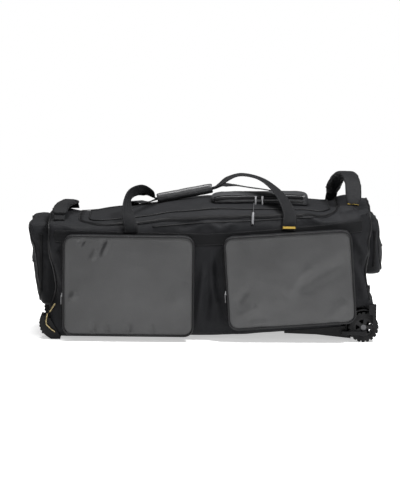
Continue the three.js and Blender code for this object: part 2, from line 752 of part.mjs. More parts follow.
// Zip strip on a front pocket's left side, with its slider and puller.
function makePocketZip(row, width, height, place) {
  const length = height * POCKET_ZIP.length;
  const middle = POCKET_DEPTH * POCKET_ZIP.depth;
  const face = -width / 2 - GAP;
  const strip = new THREE.BoxGeometry(WEBBING, length, ZIP_WIDTH * POCKET_ZIP.tape);
  strip.translate(face - WEBBING / 2, 0, middle);
  piece(`pocket_${row.name}_zip`, mapped(strip, place), "zip");
  const head = ZIP_WIDTH * POCKET_ZIP.head;
  const body = new THREE.BoxGeometry(WEBBING * 2, SLIDER_HEIGHT, head);
  body.translate(face - WEBBING * 2 - GAP, 0, 0);
  const puller = new THREE.BoxGeometry(WEBBING, PULLER_LENGTH, ZIP_WIDTH * POCKET_ZIP.puller);
  puller.translate(face - WEBBING * 2.5 - GAP, -PULLER_LENGTH / 2, 0);
  const slider = solidOf(body).add(solidOf(puller));
  const level = height * POCKET_ZIP.slider;
  const placed = mapped(geometryOf(slider), (a, b, h) => place(a, b + level, h + middle));
  piece(`pocket_${row.name}_slider`, placed, "steel");
}

// A hollow pouch, open at its back: outlines at rising depths, with a crowned front.
function pouch(outline, place, depth, crown, height) {
  const shell = (wall) => {
    const rings = [
      { inset: wall, lift: wall ? -2 * wall : -1.2 * CLOTH },
      { inset: wall, lift: depth * 0.8 },
      { inset: wall + CLOTH, lift: depth - wall },
      ...PANEL_RINGS.slice(1).map((share) => ({
        inset: wall + CLOTH + (share.inset * height) / 2,
        lift: depth - wall + share.rise * crown,
      })),
    ];
    return solidOf(loft(rings.map((row) => outline(row.inset).map((p) => place(p, row.lift)))));
  };
  return shell(0).subtract(shell(CLOTH));
}

// Pockets on the two end panels.
function makeEndPockets() {
  for (const row of END_POCKETS) {
    const level = row.level * BODY_HEIGHT;
    const corner = POCKET_CORNER;
    const outline = (inset) =>
      roundedOutline(END_POCKET_WIDTH - 2 * inset, row.height - 2 * inset, corner - inset, 2);
    const crown = row.depth * POUCH_CROWN.end;
    const full = row.depth;
    const straight = (row.side * BODY_LENGTH) / 2;
    const place = (p, lift) => {
      const z = level + p.y;
      const along = row.side < 0 ? 0 : 1;
      const face = bodyX(along, z);
      const up = THREE.MathUtils.clamp(0.5 + p.y / row.height, 0, 1);
      const reach = full * THREE.MathUtils.lerp(row.bottom, row.top, up);
      const outer = straight + row.side * reach;
      const x =
        lift < 0 ? face + row.side * lift : THREE.MathUtils.lerp(face, outer, lift / full);
      return new THREE.Vector3(x, p.x, z);
    };
    const made = pouch(outline, place, full - crown, crown, row.height);
    piece(`end_pocket_${row.name}`, made.subtract(bodyClear), "nylon");
  }
}

// Zipped pocket lying on the lid behind the front handle, with two sliders.
function makeTopPocket() {
  const middleX = LEFT_END + TOP_POCKET_PLACE.along * BODY_LENGTH;
  const middleY = TOP_POCKET_PLACE.across * HALF_DEPTH;
  const wedge = (x) => {
    const share = (x - middleX + TOP_POCKET_LENGTH / 2) / TOP_POCKET_LENGTH;
    return Math.min(1, TOP_POCKET_WEDGE.start + share * TOP_POCKET_WEDGE.rise);
  };
  const place = (p, lift) => {
    const x = middleX + p.x;
    const y = middleY + p.y;
    const ground = topLevel((x - LEFT_END) / BODY_LENGTH, y);
    const middle = topLevel((x - LEFT_END) / BODY_LENGTH, middleY);
    const level = lift < 0 ? ground : THREE.MathUtils.lerp(ground, middle, lift / HANDLE_RISE);
    return new THREE.Vector3(x, y, level + (lift < 0 ? lift : lift * wedge(x)));
  };
  const outline = (inset) =>
    roundedOutline(
      TOP_POCKET_LENGTH - 2 * inset,
      TOP_POCKET_WIDTH - 2 * inset,
      TOP_POCKET_CORNER - inset,
      2,
    );
  const crown = TOP_POCKET_HEIGHT * POUCH_CROWN.top;
  const body = pouch(outline, place, TOP_POCKET_HEIGHT - crown, crown, TOP_POCKET_WIDTH);
  piece("top_pocket", body.subtract(bodyClear), "coated");

  const front = middleY - TOP_POCKET_WIDTH / 2 - GAP;
  const { along, level, head, puller, length, drop } = TOP_SLIDERS;
  along.forEach((share, i) => {
    const x = middleX + (share - 0.5) * TOP_POCKET_LENGTH;
    const ground = topLevel((x - LEFT_END) / BODY_LENGTH, front);
    const middle = ground + TOP_POCKET_HEIGHT * level - SLIDER_HEIGHT / 2;
    const slider = new THREE.BoxGeometry(ZIP_WIDTH * head, WEBBING * 2, SLIDER_HEIGHT);
    slider.translate(x, front - WEBBING, middle);
    const tongue = new THREE.BoxGeometry(ZIP_WIDTH * puller, WEBBING, PULLER_LENGTH * length);
    tongue.translate(x, front - WEBBING * 1.5, middle - PULLER_LENGTH * drop);
    const whole = solidOf(slider).add(solidOf(tongue));
    piece(`top_slider_${i + 1}`, fittedToBody(geometryOf(whole)), "steel");
  });
}

// A route's row as a point over the bag's surface.
function routePoint(row, rise, footing = 0) {
  const section = sectionAt(row.along);
  const y = row.foot ? Math.sign(row.across) * (section.depth + footing) : row.across * HALF_DEPTH;
  const level = topLevel(row.along, y) + row.above * rise;
  return new THREE.Vector3(LEFT_END + row.along * BODY_LENGTH, y, level);
}

// A strap swept through stations of a point, a direction of width and a width; the share of the
// way it covers and its section are given.
function sweptStrap(stations, section, from = 0, to = 1, perSpan = 2) {
  const curve = new THREE.CatmullRomCurve3(
    stations.map((station) => station.point),
    false,
    "centripetal",
  );
  const spans = stations.length - 1;
  const steps = Math.max(2, Math.round(spans * perSpan * (to - from)));
  const rings = [];
  for (let i = 0; i <= steps; i++) {
    const share = THREE.MathUtils.lerp(from, to, i / steps);
    const place = share * spans;
    const index = Math.min(spans - 1, Math.floor(place));
    const low = stations[index];
    const high = stations[index + 1];
    const centre = curve.getPoint(share);
    const ahead = curve.getTangent(share);
    const wide = low.wide.clone().lerp(high.wide, place - index);
    wide.addScaledVector(ahead, -wide.dot(ahead)).normalize();
    const thick = ahead.clone().cross(wide);
    const width = THREE.MathUtils.lerp(low.width, high.width, place - index);
    rings.push(
      section(width, i / steps).map((p) =>
        centre.clone().addScaledVector(wide, p.x).addScaledVector(thick, p.y),
      ),
    );
  }
  return loft(rings, false, true);
}

// Flat webbing of a width, as a section.
function flatSection(thickness) {
  return (width) => [
    new THREE.Vector2(-width / 2, -thickness / 2),
    new THREE.Vector2(width / 2, -thickness / 2),
    new THREE.Vector2(width / 2, thickness / 2),
    new THREE.Vector2(-width / 2, thickness / 2),
  ];
}

// Where the grip wrap runs: its two ends, its direction and its own up.
function wrapLine() {
  const seat = WRAP_DIAMETER / 2 + 2 * GAP;
  const [start, end] = WRAP_ENDS.map((row) => {
    const point = routePoint(row, HANDLE_RISE);
    point.z += seat;
    return point;
  });
  const ahead = end.clone().sub(start).normalize();
  const side = new THREE.Vector3(0, 1, 0);
  const up = ahead.clone().cross(side).multiplyScalar(-1);
  if (up.z < 0) up.negate();
  return { start, end, side, up };
}

// The two carry handles, which pass through one padded grip wrap.
function makeCarryHandles() {
  const wrap = wrapLine();
  const footing = 2 * GAP + WEBBING + HANDLE_THICKNESS / 2;
  const narrow = WRAP_BORE_WIDTH - 2 * CLOTH;
  const layer = HANDLE_THICKNESS / 2 + 4 * GAP;
  const handles = [
    { name: "front", before: FRONT_LEFT_ROUTE, after: FRONT_RIGHT_ROUTE, shift: layer },
    { name: "rear", before: REAR_LEFT_ROUTE, after: REAR_RIGHT_ROUTE, shift: -layer },
  ];
  for (const { name, before, after, shift } of handles) {
    const station = (row) => ({
      point: routePoint(row, HANDLE_RISE, footing),
      wide: new THREE.Vector3(...row.wide),
      width: HANDLE_WIDTH,
    });
    const inside = WRAP_STATIONS.map((share) => ({
      point: wrap.start.clone().lerp(wrap.end, share).addScaledVector(wrap.up, shift),
      wide: wrap.side.clone(),
      width: narrow,
    }));
    const stations = [...before.map(station), ...inside, ...after.map(station)];
    const strap = sweptStrap(stations, flatSection(HANDLE_THICKNESS), 0, 1, STRAP_STEPS.handle);
    piece(`handle_${name}`, fittedToBody(strap), "webbing");
  }
  const tube = (width, height, ends) => {
    const rings = ends.map(({ share, scale }) =>
      oval(width * scale, height * scale, 12).map((p) =>
        wrap.start
          .clone()
          .lerp(wrap.end, share)
          .addScaledVector(wrap.side, p.x)
          .addScaledVector(wrap.up, p.y),
      ),
    );
    return solidOf(loft(rings));
  };
  const roll = tube(WRAP_DIAMETER, WRAP_DIAMETER, [
    { share: 0, scale: 0.93 },
    { share: 0.04, scale: 1 },
    { share: 0.96, scale: 1 },
    { share: 1, scale: 0.93 },
  ]);
  const bore = [-0.1, 1.1].map((share) =>
    roundedOutline(WRAP_BORE_WIDTH, WRAP_BORE_HEIGHT, 3, 1).map((p) =>
      wrap.start
        .clone()
        .lerp(wrap.end, share)
        .addScaledVector(wrap.side, p.x)
        .addScaledVector(wrap.up, p.y),
    ),
  );
  piece("grip_wrap", roll.subtract(solidOf(loft(bore))), "coated");

  const foot = FRONT_RIGHT_ROUTE[FRONT_RIGHT_ROUTE.length - 2];
  const seat = routePoint(foot, 0, footing + HANDLE_THICKNESS / 2 + 5 * GAP);
  const tab = new THREE.BoxGeometry(HANDLE_WIDTH * 0.92, 1, ZIP_WIDTH);
  piece("handle_tab", tab.translate(seat.x, seat.y, seat.z), "thread");
}

// Padded shoulder straps arching over the two ends of the top, on webbing tails.
function makeShoulderStraps() {
  const padding = (width, share) => {
    const ends = Math.min(1, Math.min(share, 1 - share) * 6 + 0.7);
    return roundedOutline(width * ends, STRAP_THICKNESS, STRAP_THICKNESS * 0.4, 1);
  };
  for (const [name, rows] of Object.entries(SHOULDER_ROUTES)) {
    const stations = (width) =>
      rows.map((row) => ({
        point: routePoint(row, STRAP_RISE),
        wide: new THREE.Vector3(1, 0, 0),
        width,
      }));
    const { from, to } = PAD_SHARE;
    const pad = sweptStrap(stations(STRAP_WIDTH), padding, from + PAD_SLACK, to - PAD_SLACK);
    piece(`shoulder_strap_${name}`, fittedToBody(pad), "padding");
    const flat = flatSection(HANDLE_THICKNESS);
    const near = sweptStrap(stations(TAIL_WIDTH), flat, 0, from, STRAP_STEPS.tail);
    piece(`strap_tail_${name}_front`, fittedToBody(near), "webbing");
    const far = sweptStrap(stations(TAIL_WIDTH), flat, to, 1, STRAP_STEPS.tail);
    piece(`strap_tail_${name}_rear`, fittedToBody(far), "webbing");
  }
}

// The lid zip's pull, lying down the front of the crown.
function makeLidPull() {
  const runs = [
    { name: "lid_pull_loop", rows: PULL_LOOP_ROUTE, diameter: PULL_CORD_DIAMETER },
    { name: "lid_pull_tube", rows: PULL_TUBE_ROUTE, diameter: PULL_TUBE_DIAMETER },
  ];
  for (const { name, rows, diameter } of runs) {
    const stations = rows.map((row) => {
      const point = routePoint(row, HANDLE_RISE);
      return { point, wide: new THREE.Vector3(1, 0, 0), width: diameter };
    });
    const round = sweptStrap(stations, (width) => oval(width, width, 8), 0, 1, 2);
    piece(name, fittedToBody(round), name.endsWith("tube") ? "tube" : "webbing");
  }
}

// A wheel's tyre outline with square knobs.
function knobbedOutline() {
  const outer = WHEEL_DIAMETER / 2;
  const inner = outer - KNOB_HEIGHT;
  const points = [];
  const step = (Math.PI * 2) / WHEEL_KNOBS;
  for (let i = 0; i < WHEEL_KNOBS; i++) {
    const middle = -Math.PI / 2 + i * step;
    for (const { pitch, out } of KNOB_OUTLINE) {
      const radius = out ? outer : inner;
      const angle = middle + pitch * step;
      points.push(new THREE.Vector2(radius * Math.cos(angle), radius * Math.sin(angle)));
    }
  }
  return points;
}

// The two wheels: a spoked rim, a knobbed tyre and an axle pin each.
function makeWheels() {
  const { spokes } = RIM_WINDOW;
  const bore = AXLE_DIAMETER / 2 + GAP;
  const rimRadius = RIM_DIAMETER / 2;
  for (const [name, side] of [["front", -1], ["rear", 1]]) {
    const low = (side * WHEEL_TRACK) / 2 - WHEEL_WIDTH / 2;
    const high = low + WHEEL_WIDTH;
    const tyre = new THREE.Shape(knobbedOutline());
    const seat = RIM_DIAMETER + 2 * GAP;
    tyre.holes.push(new THREE.Path(oval(seat, seat, 24).reverse()));
    const tread = plateAlongY(tyre, low, high).translate(wheelX, 0, wheelZ);
    piece(`wheel_tyre_${name}`, tread, "tyre");

    const disc = new THREE.Shape(oval(RIM_DIAMETER, RIM_DIAMETER, 24));
    disc.holes.push(new THREE.Path(oval(bore * 2, bore * 2, 12).reverse()));
    for (let i = 0; i < spokes; i++) {
      const middle = ((i + 0.5) / spokes) * Math.PI * 2;
      const spread = Math.PI / spokes - RIM_WINDOW.bar;
      const root = spread * RIM_WINDOW.taper;
      const window = new THREE.Path();
      window.absarc(0, 0, rimRadius * RIM_WINDOW.outer, middle - spread, middle + spread, false);
      window.absarc(0, 0, rimRadius * RIM_WINDOW.inner, middle + root, middle - root, true);
      disc.holes.push(window);
    }
    const rimStep = WHEEL_WIDTH * RIM_STEP;
    const rim = plateAlongY(disc, low + rimStep, high - rimStep, 2);
    rim.translate(wheelX, 0, wheelZ);
    piece(`wheel_rim_${name}`, rim, "rim");

    const inside = (side * WHEEL_TRACK) / 2 - side * (WHEEL_WIDTH / 2 + WHEEL_CLEARANCE * 2 + 1);
    const outside = (side * WHEEL_TRACK) / 2 + side * (WHEEL_WIDTH / 2 - rimStep + GAP);
    const ends = [inside, outside].sort((a, b) => a - b);
    const shaft = solidOf(drum(AXLE_DIAMETER / 2, ...ends, wheelX, wheelZ, AXLE_SIDES));
    const cap = [outside, outside + side * WEBBING].sort((a, b) => a - b);
    const head = solidOf(drum(AXLE_DIAMETER, ...cap, wheelX, wheelZ, AXLE_SIDES));
    piece(`wheel_axle_${name}`, shaft.add(head), "steel");
  }
}

// The chassis outline in side view, from its left end to the bag's right end.
function chassisOutline(inset) {
  const left = BODY_LENGTH / 2 - CHASSIS_LENGTH;
  const start = sectionAt((left - LEFT_END) / BODY_LENGTH).lift - HOUSING_WALL;
  const keel = CHASSIS_KEEL.map(
    (row) =>
      new THREE.Vector2(
        left + row.along * (CHASSIS_LENGTH - inset) + (row.along === 0 ? inset : 0),
        THREE.MathUtils.lerp(CHASSIS_GROUND, start, row.level) + inset,
      ),
  );
  const right = BODY_LENGTH / 2 - inset;
  const top = WHEEL_LIFT + BOTTOM_RADIUS;
  return [...keel, new THREE.Vector2(right, top), new THREE.Vector2(left + inset, top)];
}

// The moulded chassis tray under the wheel end.
function makeChassis() {
  const half = sectionAt(1).depth;
  const outer = solidOf(plateAlongY(new THREE.Shape(chassisOutline(0)), -half, half));
  const hollowHalf = half - HOUSING_WALL;
  const cavity = new THREE.Shape(chassisOutline(HOUSING_WALL));
  let tray = outer.subtract(solidOf(plateAlongY(cavity, -hollowHalf, hollowHalf)));
  tray = tray.subtract(bodyClear);
  for (const side of [-1, 1]) {
    const reach = HOUSING_WALL + GAP;
    tray = tray.subtract(wheelDrum(side, housingRadius + reach, housingInner - reach, HALF_DEPTH * 1.2));
  }
  piece("chassis", tray, "moulding");
}

// A wheel housing: a cup over the wheel, with two guard bars outside it.
function makeHousings() {
  const lift = 2 * GAP + WEBBING;
  const shell = filledBody(lift);
  const half = sectionAt(1).depth + lift;
  const block = solidOf(plateAlongY(new THREE.Shape(chassisOutline(0)), -half, half));
  const region = shell.add(block);
  const barNear = housingOuter;
  const barFar = housingOuter + GUARD_THICKNESS;
  for (const [name, side] of [["front", -1], ["rear", 1]]) {
    const cup = wheelDrum(side, housingRadius + HOUSING_WALL, housingInner - HOUSING_WALL, barNear)
      .subtract(wheelDrum(side, housingRadius, housingInner, barNear * 1.1))
      .intersect(region);
    const box = (x0, x1, near, far, z0, z1) => {
      const shape = new THREE.BoxGeometry(x1 - x0, far - near, z1 - z0);
      return solidOf(shape.translate((x0 + x1) / 2, (side * (near + far)) / 2, (z0 + z1) / 2));
    };
    const reach = housingRadius + HOUSING_WALL;
    const root = sectionAt(1).depth + GAP;
    const left = wheelX - reach - GUARD_WIDTH;
    const foot = wheelX - reach * GUARD_PLACE.foot;
    const right = wheelX + reach * GUARD_PLACE.right;
    const edge = right + GUARD_WIDTH * GUARD_PLACE.wide;
    const top = wheelZ + reach * GUARD_PLACE.top;
    const low = wheelZ * GUARD_PLACE.low;
    const bars = [
      box(left, wheelX + GUARD_THICKNESS, barNear, barFar, low, low + GUARD_WIDTH),
      box(left, foot, root, barFar, low, low + GUARD_WIDTH),
      box(right, edge, barNear, barFar, wheelZ, top),
      box(right - GUARD_WIDTH, edge, root, barFar, wheelZ + reach * GUARD_PLACE.post, top),
    ];
    let guard = bars.reduce((all, bar) => all.add(bar));
    guard = guard.subtract(wheelDrum(side, housingRadius, housingInner, barNear)).subtract(bodyClear);
    const bore = wheelDrum(side, AXLE_DIAMETER / 2 + GAP, 0, housingInner + 1, AXLE_SIDES);
    const housing = cup.add(guard).subtract(bore);
    piece(`wheel_housing_${name}`, housing, "moulding");
  }
}

// Ribbed skids under the two corners of the left end, flat where they stand.
function makeSkids() {
  const x = LEFT_END + SKID_RADIUS * SKID_MIDDLE;
  const at = (radius, degrees) => {
    const angle = THREE.MathUtils.degToRad(degrees);
    return new THREE.Vector2(
      x + radius * Math.cos(angle),
      SKID_RADIUS + radius * Math.sin(angle),
    );
  };
  const points = [];
  const pitch = (SKID_ARC.ribsTo - SKID_ARC.from) / SKID_RIBS;
  for (let i = 0; i < SKID_RIBS; i++) {
    const start = SKID_ARC.from + i * pitch;
    for (const row of RIB_OUTLINE) {
      points.push(at(SKID_RADIUS + row.out * RIB_HEIGHT, start + pitch * row.pitch));
    }
  }
  points.push(at(SKID_RADIUS, SKID_ARC.ribsTo), at(SKID_RADIUS, SKID_ARC.bend));
  points.push(new THREE.Vector2(at(SKID_RADIUS, SKID_ARC.to).x, 0));
  for (const row of SKID_TOP) {
    points.push(new THREE.Vector2(x + SKID_RADIUS * row.out, SKID_RADIUS * row.up));
  }
  const outer = sectionAt(0).depth + HOUSING_WALL * 3;
  for (const [name, side] of [["front", -1], ["rear", 1]]) {
    const ends = [side * outer, side * (outer - SKID_WIDTH)].sort((a, b) => a - b);
    const skid = fittedToBody(plateAlongY(new THREE.Shape(points), ...ends));
    piece(`corner_skid_${name}`, skid, "moulding");
  }
}

makeShell();
makeLidPiping();
makeBands();
makeEndPiping();
makeFrontPockets();
makeEndPockets();
makeTopPocket();
makeCarryHandles();
makeShoulderStraps();
makeLidPull();
makeWheels();
makeChassis();
makeHousings();
makeSkids();

// The bag stands on the floor, with its origin under the middle of its box.
const box = new THREE.Box3().setFromObject(bag);
bag.position.set(-(box.min.x + box.max.x) / 2, -(box.min.y + box.max.y) / 2, -box.min.z);

export default bag;
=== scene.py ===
"""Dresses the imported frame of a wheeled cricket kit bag: cloth, webbing, zips, padding, wheels and light."""

import logging
import math
from dataclasses import dataclass
from enum import Enum
from typing import Callable, Iterable, Sequence

import bmesh
import bpy
import numpy as np
from mathutils import Matrix, Vector, noise
from mathutils.bvhtree import BVHTree


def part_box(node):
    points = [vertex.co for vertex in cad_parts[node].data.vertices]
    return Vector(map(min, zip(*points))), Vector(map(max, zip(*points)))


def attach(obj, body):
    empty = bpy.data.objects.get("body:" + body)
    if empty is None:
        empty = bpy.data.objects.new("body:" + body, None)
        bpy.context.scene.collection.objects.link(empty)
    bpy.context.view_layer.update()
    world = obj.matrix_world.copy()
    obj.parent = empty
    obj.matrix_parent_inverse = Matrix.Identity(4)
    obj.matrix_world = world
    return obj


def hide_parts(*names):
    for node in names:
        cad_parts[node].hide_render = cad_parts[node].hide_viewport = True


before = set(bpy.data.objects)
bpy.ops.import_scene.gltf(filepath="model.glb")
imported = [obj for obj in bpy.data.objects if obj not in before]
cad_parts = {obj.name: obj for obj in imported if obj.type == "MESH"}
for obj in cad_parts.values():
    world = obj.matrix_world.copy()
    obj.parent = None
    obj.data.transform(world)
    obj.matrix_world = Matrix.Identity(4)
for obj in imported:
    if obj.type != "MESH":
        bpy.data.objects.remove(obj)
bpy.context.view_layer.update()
log = logging.getLogger("kit bag")
MM = 0.001
Colour = tuple[float, float, float]
Mesh = bmesh.types.BMesh


class Side(Enum):
    """The two long sides of the bag, by the sign of Y that they face."""

    FRONT = -1
    REAR = 1


class End(Enum):
    """The two ends of the bag, by the sign of X that they face."""

    LEFT = -1
    RIGHT = 1


# Shader maths.


class Wire:
    """An output socket that takes part in arithmetic."""

    def __init__(self, paint: "Paint", socket: bpy.types.NodeSocket) -> None:
        """Keeps the socket and the material that it belongs to."""
        self.paint = paint
        self.socket = socket

    def __add__(self, other: "Wire | float") -> "Wire":
        """Adds."""
        return self.paint.math("ADD", self, other)

    def __sub__(self, other: "Wire | float") -> "Wire":
        """Subtracts."""
        return self.paint.math("SUBTRACT", self, other)

    def __rsub__(self, other: float) -> "Wire":
        """Subtracts from a number."""
        return self.paint.math("SUBTRACT", other, self)

    def __mul__(self, other: "Wire | float") -> "Wire":
        """Multiplies."""
        return self.paint.math("MULTIPLY", self, other)

    def __truediv__(self, other: "Wire | float") -> "Wire":
        """Divides."""
        return self.paint.math("DIVIDE", self, other)

    __radd__ = __add__
    __rmul__ = __mul__

    def apply(self, operation: str, *others: "Wire | float") -> "Wire":
        """Puts this wire first in one Math operation."""
        return self.paint.math(operation, self, *others)


class Paint:
    """A material and the nodes that feed its shader."""

    def __init__(self, name: str) -> None:
        """Starts a material with its shader and output."""
        self.material = bpy.data.materials.new(name)
        self.material.use_nodes = True
        self.tree = self.material.node_tree
        self.tree.nodes.clear()
        self.shader = self.node("ShaderNodeBsdfPrincipled")
        self.node("ShaderNodeOutputMaterial", values={"Surface": self.wire(self.shader)})

    def node(
        self, kind: str, settings: dict | None = None, values: dict | None = None
    ) -> bpy.types.Node:
        """Adds a node.

        Args:
            kind: the node's type.
            settings: its own settings, set first; stops are a ramp's places and colours.
            values: numbers, colours or wires for its input sockets.

        Returns:
            The node.
        """
        made = self.tree.nodes.new(kind)
        for key, value in (settings or {}).items():
            if key != "stops":
                setattr(made, key, value)
                continue
            stops = made.color_ramp.elements
            while len(stops) < len(value):
                stops.new(0.5)
            for stop, (place, colour) in zip(stops, value):
                stop.position = place
                stop.color = (*colour, 1.0)
        for key, value in (values or {}).items():
            if isinstance(value, Wire):
                self.tree.links.new(value.socket, made.inputs[key])
            else:
                made.inputs[key].default_value = value
        return made

    def wire(self, node: bpy.types.Node, output: int | str = 0) -> Wire:
        """Returns one output of a node."""
        return Wire(self, node.outputs[output])

    def math(self, operation: str, *terms: Wire | float) -> Wire:
        """Returns one Math operation on wires and numbers."""
        values = dict(enumerate(terms))
        return self.wire(self.node("ShaderNodeMath", {"operation": operation}, values))

    def place(self) -> Wire:
        """Returns the place on the piece, in its own frame."""
        return self.wire(self.node("ShaderNodeTexCoord"), "Object")

    def facing(self) -> Wire:
        """Returns the direction that the surface faces."""
        return self.wire(self.node("ShaderNodeTexCoord"), "Normal")

    def attribute(self, name: str) -> Wire:
        """Returns a number stored on the piece's points."""
        return self.wire(self.node("ShaderNodeAttribute", {"attribute_name": name}), "Fac")

    def parts(self, vector: Wire) -> tuple[Wire, Wire, Wire]:
        """Splits a vector into its three numbers."""
        split = self.node("ShaderNodeSeparateXYZ", values={0: vector})
        return self.wire(split, 0), self.wire(split, 1), self.wire(split, 2)

    def joined(self, x: Wire | float, y: Wire | float, z: Wire | float) -> Wire:
        """Joins three numbers into a vector."""
        return self.wire(self.node("ShaderNodeCombineXYZ", values={0: x, 1: y, 2: z}))

    def scaled(self, vector: Wire, factors: tuple[float, float, float]) -> Wire:
        """Stretches a vector by a factor for each axis."""
        made = self.node("ShaderNodeVectorMath", {"operation": "MULTIPLY"}, {0: vector, 1: factors})
        return self.wire(made)

    def noise(self, at: Wire, scale: float, detail: float = 2.0, rough: float = 0.5) -> Wire:
        """Returns soft noise about 0.5 with so many lumps to a metre."""
        values = {"Vector": at, "Scale": scale, "Detail": detail, "Roughness": rough}
        return self.wire(self.node("ShaderNodeTexNoise", values=values))

    def cells(self, at: Wire, scale: float) -> Wire:
        """Returns the distance to the nearest of many scattered points."""
        return self.wire(self.node("ShaderNodeTexVoronoi", values={"Vector": at, "Scale": scale}))

    def ramp(self, value: Wire, low: float, high: float) -> Wire:
        """Returns a smooth step from 0 at low to 1 at high."""
        settings = {"interpolation_type": "SMOOTHSTEP"}
        return self.wire(self.node("ShaderNodeMapRange", settings, {0: value, 1: low, 2: high}))

    def blend(self, factor: Wire, low: Colour | Wire, high: Colour | Wire) -> Wire:
        """Returns a colour between two."""
        pick = {
            key: colour if isinstance(colour, Wire) else (*colour, 1.0)
            for key, colour in ((6, low), (7, high))
        }
        made = self.node("ShaderNodeMix", {"data_type": "RGBA"}, {0: factor, **pick})
        return self.wire(made, 2)

    def relief(self, height: Wire, depth: float, strength: float = 1.0) -> Wire:
        """Returns the normal of a surface raised by a height, whose full depth is in metres."""
        values = {"Strength": strength, "Distance": depth, "Height": height}
        return self.wire(self.node("ShaderNodeBump", values=values))

    def finish(self, **sockets: Wire | float | tuple) -> bpy.types.Material:
        """Sets the shader's sockets by name, with underscores for spaces, and returns the material."""
        for name, value in sockets.items():
            socket = self.shader.inputs[name.replace("_", " ")]
            if isinstance(value, Wire):
                self.tree.links.new(value.socket, socket)
            elif socket.type == "RGBA":
                socket.default_value = (*value, 1.0)
            else:
                socket.default_value = value
        return self.material


@dataclass(frozen=True)
class WovenNylon:
    """Heavy woven nylon: a fine plain weave with painted shade in its hollows, and a soft sheen."""

    name: str
    deep: Colour
    worn: Colour
    pitch: float = 1.3 * MM
    roughness: float = 0.62

    def material(self) -> bpy.types.Material:
        """Returns the material."""
        paint = Paint(self.name)
        at = paint.place()
        x, y, z = paint.parts(at)
        turn = 2 * math.pi / self.pitch
        threads = [(part * turn).apply("SINE") for part in (x, y, z)]
        facing = [part.apply("ABSOLUTE") for part in paint.parts(paint.facing())]
        weave = (
            threads[0] * threads[2] * facing[1]
            + threads[1] * threads[2] * facing[0]
            + threads[0] * threads[1] * facing[2]
        )
        slub = paint.noise(at, 420.0, 3.0, 0.6)
        cloud = paint.noise(at, 9.0, 4.0, 0.6)
        # Painted shade: the weave term darkens the hollows between the threads; the cloud and the slubs vary
        # the tone at random.
        shade = (cloud * 1.1 + slub * 0.6 + weave * 0.15).apply("SUBTRACT", 0.35)
        return paint.finish(
            Base_Color=paint.blend(shade, self.deep, self.worn),
            Roughness=self.roughness + (slub - 0.5) * 0.25,
            Normal=paint.relief(weave * 0.35 + slub, 0.5 * MM, 0.55),
            Sheen_Weight=0.02,
            Sheen_Roughness=0.45,
            Specular_IOR_Level=0.11,
        )


@dataclass(frozen=True)
class CoatedCloth:
    """Smooth coated cloth with a fine leathery grain, a little shinier where it is rubbed."""

    name: str
    deep: Colour
    worn: Colour
    roughness: float = 0.46
    grain: float = 620.0
    shine: float = 0.4

    def material(self) -> bpy.types.Material:
        """Returns the material."""
        paint = Paint(self.name)
        at = paint.place()
        pebbles = paint.cells(at, self.grain)
        fine = paint.noise(at, 1500.0, 2.0, 0.6)
        cloud = paint.noise(at, 7.0, 3.0, 0.55)
        rub = paint.ramp(paint.noise(at, 26.0, 4.0, 0.6), 0.45, 0.8)
        shade = (cloud * 1.3 + pebbles * 0.3).apply("SUBTRACT", 0.4)
        return paint.finish(
            Base_Color=paint.blend(shade, self.deep, self.worn),
            Roughness=self.roughness - rub * 0.07 + (fine - 0.5) * 0.1,
            Normal=paint.relief(pebbles * 0.7 + fine * 0.3, 0.25 * MM, 0.5),
            Specular_IOR_Level=self.shine,
        )


@dataclass(frozen=True)
class Webbing:
    """Woven strap with a herringbone weave and thick selvedges; it reads along and across."""

    name: str
    deep: Colour
    worn: Colour
    width: float
    pitch: float = 2.4 * MM

    def material(self) -> bpy.types.Material:
        """Returns the material."""
        paint = Paint(self.name)
        along = paint.attribute("along")
        across = paint.attribute("across")
        column = self.width / 8
        zigzag = (across / column).apply("PINGPONG", 1.0) * column
        chevron = ((along + zigzag) * (2 * math.pi / self.pitch)).apply("SINE")
        rib = (across * (2 * math.pi / (1.1 * MM))).apply("SINE")
        edge = paint.ramp(across.apply("ABSOLUTE"), self.width * 0.43, self.width * 0.46)
        at = paint.place()
        fuzz = paint.noise(at, 700.0, 3.0, 0.6)
        shade = chevron * 0.28 + fuzz * 0.6 + edge * 0.12 - 0.02
        return paint.finish(
            Base_Color=paint.blend(shade, self.deep, self.worn),
            Roughness=0.6 + fuzz * 0.2,
            Normal=paint.relief(chevron * 0.4 + rib * 0.12 + fuzz * 0.5 + edge * 0.4, 0.6 * MM, 0.6),
            Sheen_Weight=0.02,
            Specular_IOR_Level=0.11,
        )


@dataclass(frozen=True)
class Plastic:
    """Moulded plastic or rubber with a spark-eroded skin and scuffed edges."""

    name: str
    deep: Colour
    worn: Colour
    roughness: float
    scuff: float = 0.3

    def material(self) -> bpy.types.Material:
        """Returns the material."""
        paint = Paint(self.name)
        at = paint.place()
        skin = paint.noise(at, 900.0, 2.0, 0.6)
        scuffs = paint.ramp(paint.noise(paint.scaled(at, (1.0, 1.0, 3.5)), 60.0, 5.0, 0.7), 0.5, 0.75)
        dust = paint.noise(at, 18.0, 3.0, 0.6)
        shade = scuffs * self.scuff + dust * 0.5
        return paint.finish(
            Base_Color=paint.blend(shade, self.deep, self.worn),
            Roughness=self.roughness + scuffs * 0.12 + (skin - 0.5) * 0.15,
            Normal=paint.relief(skin, 0.15 * MM, 0.5),
            Specular_IOR_Level=0.14,
        )


